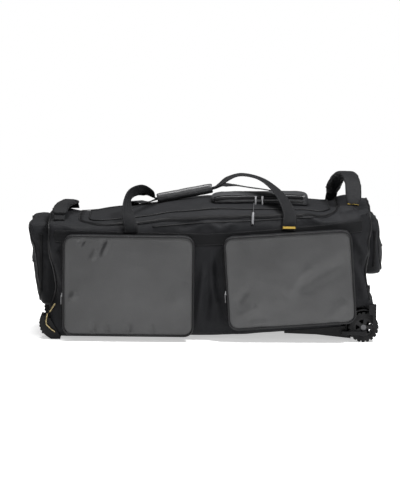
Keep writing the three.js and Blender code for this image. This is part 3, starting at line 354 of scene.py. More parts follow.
@dataclass(frozen=True)
class Metal:
    """Cast zinc or steel, dull plated, with fine scratches."""

    name: str
    colour: Colour
    roughness: float

    def material(self) -> bpy.types.Material:
        """Returns the material."""
        paint = Paint(self.name)
        at = paint.place()
        scratch = paint.noise(paint.scaled(at, (1.0, 1.0, 0.08)), 2400.0, 2.0, 0.7)
        tarnish = paint.noise(at, 90.0, 3.0, 0.6)
        dark = tuple(0.6 * part for part in self.colour)
        return paint.finish(
            Base_Color=paint.blend(tarnish, dark, self.colour),
            Roughness=self.roughness + scratch * 0.15,
            Normal=paint.relief(scratch, 0.05 * MM, 0.3),
            Metallic=1.0,
        )


@dataclass(frozen=True)
class Thread:
    """Twisted thread or cord: slanting strands over a matt core."""

    name: str
    colour: Colour
    twist: float = 900.0
    roughness: float = 0.55

    def material(self) -> bpy.types.Material:
        """Returns the material."""
        paint = Paint(self.name)
        x, y, z = paint.parts(paint.place())
        strand = ((x + y + z) * self.twist * math.pi).apply("SINE")
        dark = tuple(0.55 * part for part in self.colour)
        return paint.finish(
            Base_Color=paint.blend(strand * 0.5 + 0.5, dark, self.colour),
            Roughness=self.roughness + strand * 0.05,
            Normal=paint.relief(strand, 0.3 * MM, 0.5),
        )


class Finishes:
    """Every finish of the bag, made once."""

    def __init__(self) -> None:
        """Makes the materials."""
        self.body = WovenNylon("bag nylon", (0.0026, 0.0028, 0.0034), (0.0125, 0.0128, 0.0145)).material()
        self.gusset = WovenNylon("gusset nylon", (0.0024, 0.0026, 0.0032), (0.0105, 0.0108, 0.012)).material()
        self.panel = CoatedCloth("panel coating", (0.019, 0.0192, 0.0198), (0.041, 0.0414, 0.0424)).material()
        self.gloss = CoatedCloth(
            "glossy coating", (0.014, 0.0145, 0.0155), (0.04, 0.041, 0.044), 0.42
        ).material()
        self.padding = WovenNylon(
            "strap cover", (0.004, 0.0042, 0.0047), (0.011, 0.0113, 0.0124), 1.8 * MM, 0.6
        ).material()
        self.webbing = Webbing(
            "handle webbing", (0.003, 0.0031, 0.0036), (0.015, 0.0154, 0.017), 38 * MM
        ).material()
        self.band = Webbing(
            "band webbing", (0.0025, 0.0026, 0.003), (0.0105, 0.0108, 0.012), 36 * MM
        ).material()
        self.tail = Webbing(
            "tail webbing", (0.003, 0.0031, 0.0036), (0.0125, 0.0128, 0.014), 32 * MM
        ).material()
        self.piping = CoatedCloth(
            "piping", (0.0025, 0.0025, 0.003), (0.009, 0.0092, 0.01), 0.5, shine=0.2
        ).material()
        self.tape = WovenNylon("zip tape", (0.002, 0.002, 0.0025), (0.008, 0.008, 0.009), 0.9 * MM).material()
        self.teeth = Plastic("zip teeth", (0.003, 0.003, 0.0034), (0.012, 0.012, 0.013), 0.5, 0.2).material()
        self.brass = Metal("brass teeth", (0.62, 0.5, 0.26), 0.32).material()
        self.steel = Metal("zip slider", (0.34, 0.34, 0.35), 0.34).material()
        self.pin = Metal("wheel pin", (0.12, 0.12, 0.125), 0.4).material()
        self.moulding = Plastic("moulding", (0.003, 0.003, 0.0034), (0.012, 0.0122, 0.013), 0.5).material()
        self.tyre = Plastic("tyre rubber", (0.004, 0.004, 0.0043), (0.016, 0.016, 0.0165), 0.7).material()
        self.rim = Plastic("wheel rim", (0.006, 0.006, 0.0065), (0.023, 0.023, 0.024), 0.42).material()
        self.yellow = Thread("yellow thread", (0.6, 0.4, 0.06)).material()
        self.stitch = Thread("black stitching", (0.03, 0.03, 0.033)).material()
        self.tube = Plastic("pull tube", (0.1, 0.1, 0.105), (0.3, 0.3, 0.31), 0.3, 0.2).material()


# Mesh work.


def points_of(mesh: Mesh) -> np.ndarray:
    """Returns a mesh's points as rows."""
    return np.array([v.co[:] for v in mesh.verts])


def merged(*nodes: str) -> Mesh:
    """Returns copies of CAD nodes as one mesh, each joined up at its own edges."""
    whole = bmesh.new()
    for node in nodes:
        whole.from_mesh(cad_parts[node].data)
    bmesh.ops.remove_doubles(whole, verts=whole.verts, dist=0.01 * MM)
    return whole


def drop_inner(mesh: Mesh, outward: Vector | None = None) -> None:
    """Deletes the faces from which no line leads out of the mesh.

    Args:
        mesh: the mesh.
        outward: for an open pouch, the way that its mouth doesn't face.
    """
    tree = BVHTree.FromBMesh(mesh)
    # A face in a deep fold may see out on a slant only, so several ways are tried.
    tilts = [Vector((0.0, 0.0, 0.0))]
    tilts += [Vector(t) * 0.8 for t in ((1, 0, 0), (-1, 0, 0), (0, 1, 0), (0, -1, 0), (0, 0, 1), (0, 0, -1))]
    inner = []
    for face in mesh.faces:
        start = face.calc_center_median() + face.normal * 0.4 * MM
        for tilt in tilts:
            way = (face.normal + tilt).normalized()
            if outward is not None and way.dot(outward) < -0.1:
                continue
            if tree.ray_cast(start, way, 2.0)[0] is None:
                break
        else:
            inner.append(face)
    bmesh.ops.delete(mesh, geom=inner, context="FACES")


def to_object(mesh: Mesh, name: str) -> bpy.types.Object:
    """Turns a mesh into a linked object."""
    data = bpy.data.meshes.new(name)
    mesh.to_mesh(data)
    mesh.free()
    made = bpy.data.objects.new(name, data)
    bpy.context.scene.collection.objects.link(made)
    return made


def evaluated(piece: bpy.types.Object) -> Mesh:
    """Returns a piece's mesh with its modifiers applied, and removes the piece."""
    graph = bpy.context.evaluated_depsgraph_get()
    whole = bmesh.new()
    whole.from_mesh(piece.evaluated_get(graph).to_mesh())
    data = piece.data
    bpy.data.objects.remove(piece)
    bpy.data.meshes.remove(data)
    return whole


def keep_largest(mesh: Mesh) -> None:
    """Deletes all but the largest connected part of a mesh."""
    left = set(mesh.verts)
    parts = []
    while left:
        wave = {next(iter(left))}
        part = set()
        while wave:
            part |= wave
            left -= wave
            wave = {e.other_vert(v) for v in wave for e in v.link_edges} & left
        parts.append(part)
    parts.sort(key=len)
    bmesh.ops.delete(mesh, geom=[v for part in parts[:-1] for v in part], context="VERTS")


def remeshed(mesh: Mesh, voxel: float, wall: float = 0.0) -> Mesh:
    """Returns the outside of a mesh, rebuilt of even squares.

    Args:
        mesh: the mesh, which is used up.
        voxel: about the size of a square.
        wall: how far an open skin is thickened inwards first.

    Returns:
        The closed outer skin.
    """
    piece = to_object(mesh, "rebuilt")
    if wall:
        inward = piece.modifiers.new("wall", "SOLIDIFY")
        inward.thickness = wall
        inward.use_even_offset = False
    change = piece.modifiers.new("even squares", "REMESH")
    change.mode = "VOXEL"
    change.voxel_size = voxel
    change.use_smooth_shade = True
    whole = evaluated(piece)
    keep_largest(whole)
    return whole


def relaxed(mesh: Mesh, times: int, factor: float = 0.5) -> None:
    """Smooths a mesh so many times."""
    for _ in range(times):
        bmesh.ops.smooth_vert(
            mesh, verts=mesh.verts, factor=factor, use_axis_x=True, use_axis_y=True, use_axis_z=True
        )


def refined(mesh: Mesh) -> None:
    """Divides every face of a mesh in four, on a smooth curve."""
    bmesh.ops.subdivide_edges(mesh, edges=mesh.edges, cuts=1, use_grid_fill=True, smooth=0.6)


def chamfered(mesh: Mesh, edges: list[bmesh.types.BMEdge], width: float, segments: int) -> None:
    """Rounds some edges of a mesh."""
    bmesh.ops.bevel(
        mesh, geom=edges, offset=width, offset_type="OFFSET", segments=segments, profile=0.5,
        affect="EDGES", material=-1,
    )


def tree_of(mesh: Mesh) -> BVHTree:
    """Returns a mesh as a tree that is searched by rays and for the nearest place."""
    mesh.normal_update()
    return BVHTree.FromBMesh(mesh)


def moved(mesh: Mesh, push: Callable[[np.ndarray, np.ndarray], np.ndarray]) -> None:
    """Moves each point along its normal by what a function of places and normals says, in metres."""
    mesh.normal_update()
    normals = np.array([v.normal[:] for v in mesh.verts])
    for vert, amount in zip(mesh.verts, push(points_of(mesh), normals)):
        vert.co += vert.normal * float(amount)


def lumps(points: np.ndarray, size: float, seed: float = 0.0) -> np.ndarray:
    """Returns noise from -1 to 1 whose lumps are about the given size."""
    shift = Vector((seed, seed * 1.7, seed * 0.6))
    return np.array([noise.noise(Vector(p) / size + shift) for p in points])


@dataclass(frozen=True)
class Fold:
    """A crease or ridge in cloth: a line in a plane, in millimetres, and how it rises or sinks."""

    start: tuple[float, float]
    end: tuple[float, float]
    rise: float
    width: float = 9.0

    def height(self, across: np.ndarray, up: np.ndarray) -> np.ndarray:
        """Returns its height in metres at places given in metres."""
        a = np.array(self.start) * MM
        line = np.array(self.end) * MM - a
        length = float(np.hypot(*line))
        share = ((across - a[0]) * line[0] + (up - a[1]) * line[1]) / length**2
        near = np.clip(share, 0, 1)
        away = np.hypot(across - a[0] - near * line[0], up - a[1] - near * line[1])
        fade = np.clip(1.3 * np.sin(math.pi * np.clip(near, 0.06, 0.94)), 0, 1)
        return self.rise * MM * fade * np.exp(-((away / (self.width * MM)) ** 2))


def folded(folds: Sequence[Fold], across: np.ndarray, up: np.ndarray) -> np.ndarray:
    """Adds up folds at places."""
    return sum((fold.height(across, up) for fold in folds), np.zeros(len(across)))


@dataclass(frozen=True)
class Inflation:
    """How a stuffed piece is blown up: cloth pressure, frames, and the most that a point moves."""

    pressure: float = 4.0
    frames: int = 20
    most: float = 8 * MM

    def run(self, mesh: Mesh, held: Callable[[Vector], float] | None = None) -> Mesh:
        """Blows a closed mesh up and returns it.

        Args:
            mesh: the closed mesh, which is used up.
            held: how firmly a place is held, from 0 to 1.

        Returns:
            The blown-up mesh with even faces.
        """
        before = [v.co.copy() for v in mesh.verts]
        piece = to_object(mesh, "stuffed")
        bpy.context.view_layer.objects.active = piece
        cloth = piece.modifiers.new("cloth", "CLOTH")
        settings = cloth.settings
        if held is not None:
            group = piece.vertex_groups.new(name="held")
            for index, point in enumerate(before):
                group.add([index], held(point), "REPLACE")
            settings.vertex_group_mass = "held"
        settings.use_pressure = True
        settings.uniform_pressure_force = self.pressure
        settings.effector_weights.gravity = 0.0
        settings.quality = 4
        settings.mass = 0.3
        settings.tension_stiffness = 12
        settings.compression_stiffness = 8
        settings.bending_stiffness = 1.5
        cloth.collision_settings.use_collision = False
        scene = bpy.context.scene
        for step in range(1, self.frames + 1):
            scene.frame_set(step)
        result = evaluated(piece)
        scene.frame_set(1)
        for vert, start in zip(result.verts, before):
            shift = vert.co - start
            if shift.length > self.most:
                vert.co = start + shift * (self.most / shift.length)
        return result


@dataclass(frozen=True)
class Route:
    """A strap's way through stations: a place, a direction of width and a width, in millimetres."""

    stations: tuple[tuple[float, ...], ...]

    def place(self, share: float) -> Vector:
        """Returns the place at a share of the way, on a curve through every station."""
        spans = len(self.stations) - 1
        index = min(spans - 1, int(share * spans))
        t = share * spans - index
        known = [Vector(row[:3]) * MM for row in self.stations]
        before = known[index - 1] if index else 2 * known[0] - known[1]
        after = known[index + 2] if index + 2 <= spans else 2 * known[-1] - known[-2]
        p = [before, known[index], known[index + 1], after]
        knots = [0.0]
        for a, b in zip(p, p[1:]):
            knots.append(knots[-1] + max(1e-4, math.sqrt((b - a).length)))
        u = knots[1] + t * (knots[2] - knots[1])
        near = [p[i].lerp(p[i + 1], (u - knots[i]) / (knots[i + 1] - knots[i])) for i in range(3)]
        wide = [
            near[i].lerp(near[i + 1], (u - knots[i]) / (knots[i + 2] - knots[i])) for i in range(2)
        ]
        return wide[0].lerp(wide[1], t)

    def frame(self, share: float) -> tuple[Vector, Vector, Vector, float]:
        """Returns the place, the directions across and through the strap, and its width."""
        spans = len(self.stations) - 1
        index = min(spans - 1, int(share * spans))
        t = share * spans - index
        low, high = self.stations[index], self.stations[index + 1]
        ahead = (self.place(min(1, share + 1e-3)) - self.place(max(0, share - 1e-3))).normalized()
        wide = Vector(low[3:6]).lerp(Vector(high[3:6]), t)
        wide = (wide - ahead * wide.dot(ahead)).normalized()
        width = (low[6] + (high[6] - low[6]) * t) * MM
        return self.place(share), wide, ahead.cross(wide), width


def strap(sections: Iterable[Sequence[Vector]], across: Sequence[float]) -> Mesh:
    """Extrudes a row of points through section after section.

    Args:
        sections: the points of each section, in order.
        across: each point's place over the width, stored for the weave.

    Returns:
        An open skin whose points carry the numbers along and across.
    """
    mesh = bmesh.new()
    far = mesh.verts.layers.float.new("along")
    over = mesh.verts.layers.float.new("across")
    row: list[bmesh.types.BMVert] = []
    length = 0.0
    for section in sections:
        if not row:
            row = [mesh.verts.new(p) for p in section]
            edges = [mesh.edges.new(pair) for pair in zip(row, row[1:])]
        else:
            middle = sum((v.co for v in row), Vector()) / len(row)
            length += (sum(section, Vector()) / len(section) - middle).length
            made = set(bmesh.ops.extrude_edge_only(mesh, edges=edges)["geom"])
            row = [
                next(e.other_vert(v) for e in v.link_edges if e.other_vert(v) in made) for v in row
            ]
            edges = [mesh.edges.get(pair) for pair in zip(row, row[1:])]
            for vert, point in zip(row, section):
                vert.co = point
        for vert, place in zip(row, across):
            vert[far] = length
            vert[over] = place
    bmesh.ops.recalc_face_normals(mesh, faces=mesh.faces)
    return mesh


def tube(path: Sequence[Vector], radius: float, sides: int = 8, closed: bool = False) -> Mesh:
    """Returns a round cord along a path, capped where it is open."""
    data = bpy.data.curves.new("cord", "CURVE")
    data.dimensions = "3D"
    line = data.splines.new("POLY")
    line.points.add(len(path) - 1)
    for point, place in zip(line.points, path):
        point.co = (*place, 1.0)
    line.use_cyclic_u = closed
    data.bevel_depth = radius
    data.bevel_resolution = max(0, sides // 2 - 2)
    data.use_fill_caps = not closed
    piece = bpy.data.objects.new("cord", data)
    bpy.context.scene.collection.objects.link(piece)
    graph = bpy.context.evaluated_depsgraph_get()
    whole = bmesh.new()
    whole.from_mesh(piece.evaluated_get(graph).to_mesh())
    bpy.data.objects.remove(piece)
    bpy.data.curves.remove(data)
    bmesh.ops.remove_doubles(whole, verts=whole.verts, dist=0.01 * MM)
    bmesh.ops.recalc_face_normals(whole, faces=whole.faces)
    return whole


def spaced(path: Sequence[Vector], pitch: float, closed: bool = False) -> list[Vector]:
    """Returns points at an even pitch along a path."""
    loop = list(path) + ([path[0]] if closed else [])
    lengths = [0.0]
    for a, b in zip(loop, loop[1:]):
        lengths.append(lengths[-1] + (b - a).length)
    count = max(1, round(lengths[-1] / pitch))
    made, index = [], 0
    for step in range(count if closed else count + 1):
        target = lengths[-1] * step / count
        while index < len(loop) - 2 and lengths[index + 1] < target:
            index += 1
        span = lengths[index + 1] - lengths[index]
        made.append(loop[index].lerp(loop[index + 1], (target - lengths[index]) / max(span, 1e-9)))
    return made


def rounded(width: float, height: float, radius: float, step: float) -> list[tuple[float, float]]:
    """Returns points round a rectangle with round corners, anticlockwise from its right side."""
    corners = []
    for quarter, (sx, sy) in enumerate(((1, 1), (-1, 1), (-1, -1), (1, -1))):
        for part in range(9):
            angle = (quarter + part / 8) * math.pi / 2
            x = sx * (width / 2 - radius) + radius * math.cos(angle)
            y = sy * (height / 2 - radius) + radius * math.sin(angle)
            corners.append(Vector((x, y, 0.0)))
    return [(p.x, p.y) for p in spaced(corners, step, closed=True)]


def row_of(
    places: Iterable[tuple[Vector, Vector, Vector]], size: tuple[float, float, float], round_: bool
) -> Mesh:
    """Sets small grains along a line.

    Args:
        places: each grain's middle, the direction along the line and the one out of the surface.
        size: its half sizes along the line, across it and out.
        round_: whether a grain is round, as a stitch is, or square, as a tooth is.

    Returns:
        The grains as one mesh.
    """
    mesh = bmesh.new()
    for middle, ahead, out in places:
        ahead = ahead.normalized()
        out = (out - ahead * out.dot(ahead)).normalized()
        turn = Matrix((ahead, out.cross(ahead), out)).transposed().to_4x4()
        matrix = Matrix.Translation(middle) @ turn @ Matrix.Diagonal((*size, 1.0))
        if round_:
            bmesh.ops.create_icosphere(mesh, subdivisions=1, radius=1.0, matrix=matrix)
        else:
            bmesh.ops.create_cube(mesh, size=2.0, matrix=matrix)
    return mesh


def grains_along(
    seam: Sequence[tuple[Vector, Vector]], lift: float = 0.0
) -> list[tuple[Vector, Vector, Vector]]:
    """Returns a stitch's place and directions between each two neighbours of a seam.

    Args:
        seam: places with the directions out of the cloth.
        lift: how far the stitches stand off.

    Returns:
        Rows for row_of.
    """
    return [
        (a.lerp(b, 0.5) + out * lift, b - a, out) for (a, out), (b, _) in zip(seam, seam[1:])
    ]


class Nearest:
    """Directions known at places, looked up by the nearest."""

    def __init__(self, places: Sequence[Vector], directions: Sequence[Vector]) -> None:
        """Keeps the places and their directions."""
        self.places = np.array([p[:] for p in places])
        self.directions = directions

    def at(self, place: Vector) -> Vector:
        """Returns the direction of the nearest place."""
        return self.directions[int(np.argmin(((self.places - np.array(place[:])) ** 2).sum(1)))]


class Workshop:
    """Puts finished meshes on the bag."""

    def __init__(self, finishes: Finishes) -> None:
        """Keeps the finishes."""
        self.finishes = finishes

    def fit(
        self,
        mesh: Mesh,
        name: str,
        material: bpy.types.Material,
        replaces: Sequence[str] = (),
        body: str = "bag",
        smooth: bool = True,
    ) -> bpy.types.Object:
        """Makes a piece of a mesh.

        Args:
            mesh: the mesh, which is used up.
            name: the piece's name.
            material: its finish.
            replaces: the CAD nodes that it stands for.
            body: the body that it rides on.
            smooth: whether its faces are shaded as one.

        Returns:
            The piece.
        """
        for face in mesh.faces:
            face.smooth = smooth
        piece = to_object(mesh, name)
        piece.data.materials.clear()
        piece.data.materials.append(material)
        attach(piece, body)
        if replaces:
            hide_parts(*replaces)
        log.info("%s: %d faces", name, len(piece.data.polygons))
        return piece

    def thicken(self, piece: bpy.types.Object, thickness: float, offset: float = -1.0) -> None:
        """Gives a skin its thickness, inwards unless the offset says otherwise."""
        wall = piece.modifiers.new("thickness", "SOLIDIFY")
        wall.thickness = thickness
        wall.offset = offset
        wall.use_even_offset = False

    def soften(self, piece: bpy.types.Object, levels: int = 1) -> None:
        """Rounds a piece by subdivision."""
        finer = piece.modifiers.new("rounding", "SUBSURF")
        finer.levels = levels
        finer.render_levels = levels

    def bevel(self, piece: bpy.types.Object, width: float, segments: int = 2) -> None:
        """Rounds a piece's sharp edges."""
        edge = piece.modifiers.new("edges", "BEVEL")
        edge.width = width
        edge.segments = segments
        edge.limit_method = "ANGLE"
        edge.angle_limit = math.radians(32)
        edge.harden_normals = False


# The bag's cloth.


def split(mesh: Mesh, inside: Callable[[Vector], bool]) -> tuple[Mesh, Mesh]:
    """Cuts a mesh into the faces whose middles pass a test, and the rest."""
    rest = mesh.copy()
    for part, keep in ((mesh, True), (rest, False)):
        out = [f for f in part.faces if inside(f.calc_center_median()) != keep]
        bmesh.ops.delete(part, geom=out, context="FACES")
    return mesh, rest


@dataclass
class BagSkin:
    """The bag's own cloth, made whole, then cut into the body and the lid; lengths in metres."""

    voxel: float = 6 * MM
    wall: float = 18 * MM
    cloth: float = 2.5 * MM
    depth: float = 2.5
    lid_middle: tuple[float, float] = (8.8 * MM, 18.9 * MM)
    lid_length: float = 724 * MM
    lid_width: float = 317 * MM
    lid_corner: float = 70 * MM
    zip_half: float = 3.3 * MM
    front_folds: tuple[Fold, ...] = (
        Fold((-20, 60), (-4, 235), 3.0, 8),
        Fold((-2, 40), (14, 170), -3.0, 9),
        Fold((22, 70), (12, 250), 3.2, 8),
        Fold((38, 120), (28, 265), -2.6, 8),
        Fold((40, 45), (30, 140), 2.6, 8),
        Fold((-30, 318), (10, 336), 2.2, 7),
        Fold((0, 336), (44, 314), 2.6, 7),
        Fold((40, 316), (84, 338), 2.4, 7),
        Fold((-80, 320), (-36, 332), -2.0, 8),
        Fold((286, 352), (330, 336), 3.0, 8),
        Fold((300, 368), (366, 350), -2.6, 9),
        Fold((330, 338), (378, 344), 2.6, 8),
        Fold((262, 344), (300, 352), 2.0, 9),
        Fold((418, 300), (452, 240), 3.4, 9),
        Fold((424, 250), (456, 180), -3.6, 10),
        Fold((430, 205), (452, 120), 3.0, 9),
        Fold((-442, 290), (-412, 230), 2.8, 10),
        Fold((-440, 210), (-408, 120), -2.6, 10),
        Fold((-405, 322), (-360, 308), 2.0, 9),
    )
    end_folds: tuple[Fold, ...] = (
        Fold((-150, 60), (-90, 150), 4.0, 14),
        Fold((-120, 70), (120, 64), -3.0, 16),
        Fold((40, 130), (160, 60), 4.0, 16),
        Fold((-150, 330), (-60, 250), 3.0, 14),
        Fold((30, 345), (170, 280), -3.0, 14),
        Fold((-140, 200), (-150, 300), 3.0, 12),
        Fold((180, 110), (160, 260), 3.0, 14),
    )

    def make(self) -> None:
        """Makes the whole skin and keeps it for other pieces to lie on."""
        whole = merged("bag_body", "lid_zip", "lid_panel")
        drop_inner(whole)
        bmesh.ops.remove_doubles(whole, verts=whole.verts, dist=0.5 * MM)
        whole = remeshed(whole, self.voxel, self.wall)
        drop_inner(whole)
        keep_largest(whole)
        rim = [e for e in whole.edges if e.is_boundary]
        patch = bmesh.ops.holes_fill(whole, edges=rim, sides=0)["faces"]
        bmesh.ops.triangulate(whole, faces=patch)
        relaxed(whole, 12)
        moved(whole, self.push)
        relaxed(whole, 1, 0.3)
        self.tree = tree_of(whole)
        self.whole = whole

    def push(self, points: np.ndarray, normals: np.ndarray) -> np.ndarray:
        """Returns how far the cloth stands out at each point."""
        x, y, z = points.T
        front = np.clip(-normals[:, 1] * 1.4, 0, 1)
        ends = np.clip(np.abs(normals[:, 0]) * 1.3, 0, 1)
        above = np.clip(normals[:, 2], 0, 1)
        height = front * folded(self.front_folds, x, z) * self.depth
        height += ends * folded(self.end_folds, y, z) * self.depth
        broad = lumps(points, 0.13, 3.0) * 3.0 * MM
        middle = lumps(points * np.array([0.6, 1.0, 1.4]), 0.045, 8.0) * 2.3 * MM
        fine = lumps(points, 0.02, 5.0) * 0.5 * MM
        return height + broad * (0.35 + 0.65 * np.maximum(ends, above)) + middle + fine

    def hit(self, start: Vector, direction: Vector) -> tuple[Vector, Vector]:
        """Returns where a line from outside first meets the cloth, and the cloth's normal there."""
        place, normal, _, _ = self.tree.ray_cast(start, direction.normalized(), 3.0)
        if place is None:
            place, normal, _, _ = self.tree.find_nearest(start)
        return place, normal

    def below(self, x: float, y: float) -> tuple[Vector, Vector]:
        """Returns the cloth under a place."""
        return self.hit(Vector((x, y, 0.7)), Vector((0, 0, -1)))

    def beside(self, side: Side, x: float, z: float) -> tuple[Vector, Vector]:
        """Returns the cloth at a place on one long side."""
        return self.hit(Vector((x, side.value * 0.6, z)), Vector((0, -side.value, 0)))

    def in_lid(self, place: Vector) -> bool:
        """Says whether a place is inside the lid's outline."""
        x = abs(place.x - self.lid_middle[0]) - self.lid_length / 2 + self.lid_corner
        y = abs(place.y - self.lid_middle[1]) - self.lid_width / 2 + self.lid_corner
        out = math.hypot(max(x, 0), max(y, 0)) + min(max(x, y), 0)
        return place.z > 0.3 and out < self.lid_corner + self.zip_half

    def cut(self, shop: Workshop) -> None:
        """Cuts the skin and fits its two parts."""
        lid, body = split(self.whole.copy(), self.in_lid)
        for mesh, name, node in ((body, "body_cloth", "bag_body"), (lid, "lid_cloth", "lid_panel")):
            piece = shop.fit(mesh, name, shop.finishes.body, [node])
            shop.thicken(piece, self.cloth)


@dataclass
class ZipChain:
    """A zip along a path on cloth: two tapes and a coil of teeth; lengths in metres."""

    tape: float = 13 * MM
    thick: float = 0.7 * MM
    lift: float = 0.8 * MM
    pitch: float = 3.0 * MM
    tooth: tuple[float, float, float] = (0.9 * MM, 2.4 * MM, 1.1 * MM)

    def laid(self, cloth: BVHTree, point: Vector) -> Vector:
        """Returns a point moved to just above the cloth."""
        place, normal, _, _ = cloth.find_nearest(point)
        return place + normal * self.lift

    def make(
        self,
        shop: Workshop,
        name: str,
        path: Sequence[tuple[Vector, Vector]],
        slot: str,
        replaces: Sequence[str],
        closed: bool = False,
        teeth: bpy.types.Material | None = None,
        cloth: BVHTree | None = None,
    ) -> None:
        """Fits the tape and the teeth.

        Args:
            shop: where the pieces are made.
            name: the start of their names.
            path: places and normals on the cloth.
            slot: not used.
            replaces: the CAD nodes that the tape stands for.
            closed: whether the path is a ring.
            teeth: the teeth's finish, unless it is black.
            cloth: the cloth to lie on, where the path alone isn't close enough.
        """
        places = [p + n * self.lift for p, n in path]
        around = list(range(len(places)))
        sections = []
        ordered = around + ([0] if closed else [])
        for i in ordered:
            before = places[i - 1] if closed or i else places[i]
            after = places[(i + 1) % len(places)] if closed or i < len(places) - 1 else places[i]
            ahead = (after - before).normalized()
            side = ahead.cross(path[i][1]).normalized()
            half = self.tape / 2
            section = [places[i] + side * half * s for s in (-1, -0.5, 0, 0.5, 1)]
            if cloth is not None:
                section = [self.laid(cloth, point) for point in section]
            sections.append(section)
        tape = strap(sections, [-0.5, -0.25, 0, 0.25, 0.5])
        if closed:
            bmesh.ops.remove_doubles(tape, verts=tape.verts, dist=0.01 * MM)
        piece = shop.fit(tape, f"{name}_tape", shop.finishes.tape, replaces)
        shop.thicken(piece, self.thick, 1.0)
        even = spaced(places, self.pitch, closed)
        normals = Nearest(places, [n for _, n in path])
        grains = []
        for i, place in enumerate(even[:-1]):
            out = normals.at(place)
            base = self.laid(cloth, place) if cloth is not None else place
            grains.append((base + out * 0.9 * MM, even[i + 1] - place, out))
        row = row_of(grains, self.tooth, False)
        shop.fit(row, f"{name}_teeth", teeth or shop.finishes.teeth, smooth=False)


@dataclass
class SideSeam:
    """A piped seam on one long side, through points given in millimetres along and up."""

    skin: BagSkin
    side: Side
    name: str
    points: tuple[tuple[float, float], ...]
    radius: float = 1.7 * MM

    def make(self, shop: Workshop) -> None:
        """Fits the seam."""
        xs, zs = (np.array(part) * MM for part in zip(*self.points))
        path = []
        for x in np.arange(xs[0], xs[-1], 7 * MM):
            place, normal = self.skin.beside(self.side, x, float(np.interp(x, xs, zs)))
            path.append(place + normal * self.radius * 0.45)
        shop.fit(tube(path, self.radius, 8), self.name, shop.finishes.piping)


@dataclass
class CornerChain:
    """The brass zip chain round the foot of the left end, in millimetres along and up."""

    skin: BagSkin
    front: float = -157.6
    corner: float = -152.0
    proud: float = 0.4
    points: tuple[tuple[float, float], ...] = (
        (-425, 100), (-432, 88), (-439, 78), (-446, 71), (-449, 53), (-448, 41), (-432, 26), (-422, 20)
    )

    def make(self, shop: Workshop) -> None:
        """Fits the chain."""
        out = Vector((0, -1, 0))
        path = []
        for point in spaced([Vector((x, 0, z)) * MM for x, z in self.points], 5 * MM):
            near, _ = self.skin.beside(Side.FRONT, point.x, point.z)
            y = min(near.y, (self.front if point.z < 0.07 else self.corner) * MM)
            path.append((Vector((point.x, y - self.proud * MM, point.z)), out))
        chain = ZipChain(tape=8 * MM, pitch=3.6 * MM, tooth=(0.8 * MM, 1.6 * MM, 0.9 * MM))
        chain.make(shop, "end_zip_chain", path, "zip_tape", [], teeth=shop.finishes.brass)


@dataclass
class LidTrim:
    """The lid's zip and the piping sewn inside it."""

    skin: BagSkin
    piping: float = 2.2 * MM
    inset: float = 22 * MM

    def loop(self, grow: float, step: float) -> list[tuple[Vector, Vector]]:
        """Returns the lid's outline, grown, as places and normals on the cloth."""
        skin = self.skin
        outline = rounded(
            skin.lid_length + 2 * grow, skin.lid_width + 2 * grow, skin.lid_corner + grow, step
        )
        return [skin.below(skin.lid_middle[0] + x, skin.lid_middle[1] + y) for x, y in outline]

    def make(self, shop: Workshop) -> None:
        """Fits the zip and the piping."""
        ZipChain().make(
            shop, "lid_zip_chain", self.loop(self.skin.zip_half, 7 * MM), "zip_tape", ["lid_zip"],
            closed=True, cloth=self.skin.tree,
        )
        path = [p + n * self.piping * 0.6 for p, n in self.loop(-self.inset, 8 * MM)]
        cord = tube(path, self.piping, 8, closed=True)
        shop.fit(cord, "lid_piping_cord", shop.finishes.piping, ["lid_piping"])


@dataclass
class SideBand:
    """A webbing band along one long side."""

    skin: BagSkin
    side: Side
    width: float = 36 * MM
    thick: float = 2 * MM
    stitch: tuple[float, float, float] = (1.6 * MM, 0.45 * MM, 0.35 * MM)
    strands: int = 6
    top: tuple[tuple[float, float], ...] = (
        (-426, 311), (-360, 311), (-237, 309.4), (-91, 306.9), (0, 306.9), (100, 312.6),
        (191, 320.4), (282, 330.3), (377, 341.3), (423, 347.8), (446, 351.2),
    )

    def level(self, x: float) -> float:
        """Returns the height of the band's top edge."""
        xs, zs = zip(*self.top)
        return float(np.interp(x / MM, xs, zs)) * MM

    def make(self, shop: Workshop) -> None:
        """Fits the band and its stitching."""
        sections = []
        for x in np.arange(self.top[0][0], self.top[-1][0] + 1, 9.0) * MM:
            zs = [self.level(x) - self.width * part / self.strands for part in range(self.strands + 1)]
            ys = [self.skin.beside(self.side, x, z)[0].y for z in zs]
            y = sum(ys) / len(ys)
            sections.append(
                [
                    Vector((x, (own + y) / 2 + self.side.value * 0.5 * MM, z))
                    for own, z in zip(ys, zs)
                ]
            )
        across = [self.width * (part / self.strands - 0.5) for part in range(self.strands + 1)]
        name = self.side.name.lower()
        piece = shop.fit(
            strap(sections, across), f"band_{name}_webbing", shop.finishes.band,
            [f"band_{name}"],
        )
        flip = piece.data.polygons[0].normal.y * self.side.value < 0
        shop.thicken(piece, self.thick, -1.0 if flip else 1.0)
        shop.soften(piece)
        out = Vector((0, self.side.value, 0))
        grains = []
        for share in (0.08, 0.92):
            line = [s[0].lerp(s[-1], share) + out * (self.thick + 0.1 * MM) for s in sections]
            grains += grains_along([(place, out) for place in spaced(line, 5.0 * MM)])
        stitches = row_of(grains, self.stitch, True)
        shop.fit(stitches, f"band_{name}_stitching", shop.finishes.stitch)


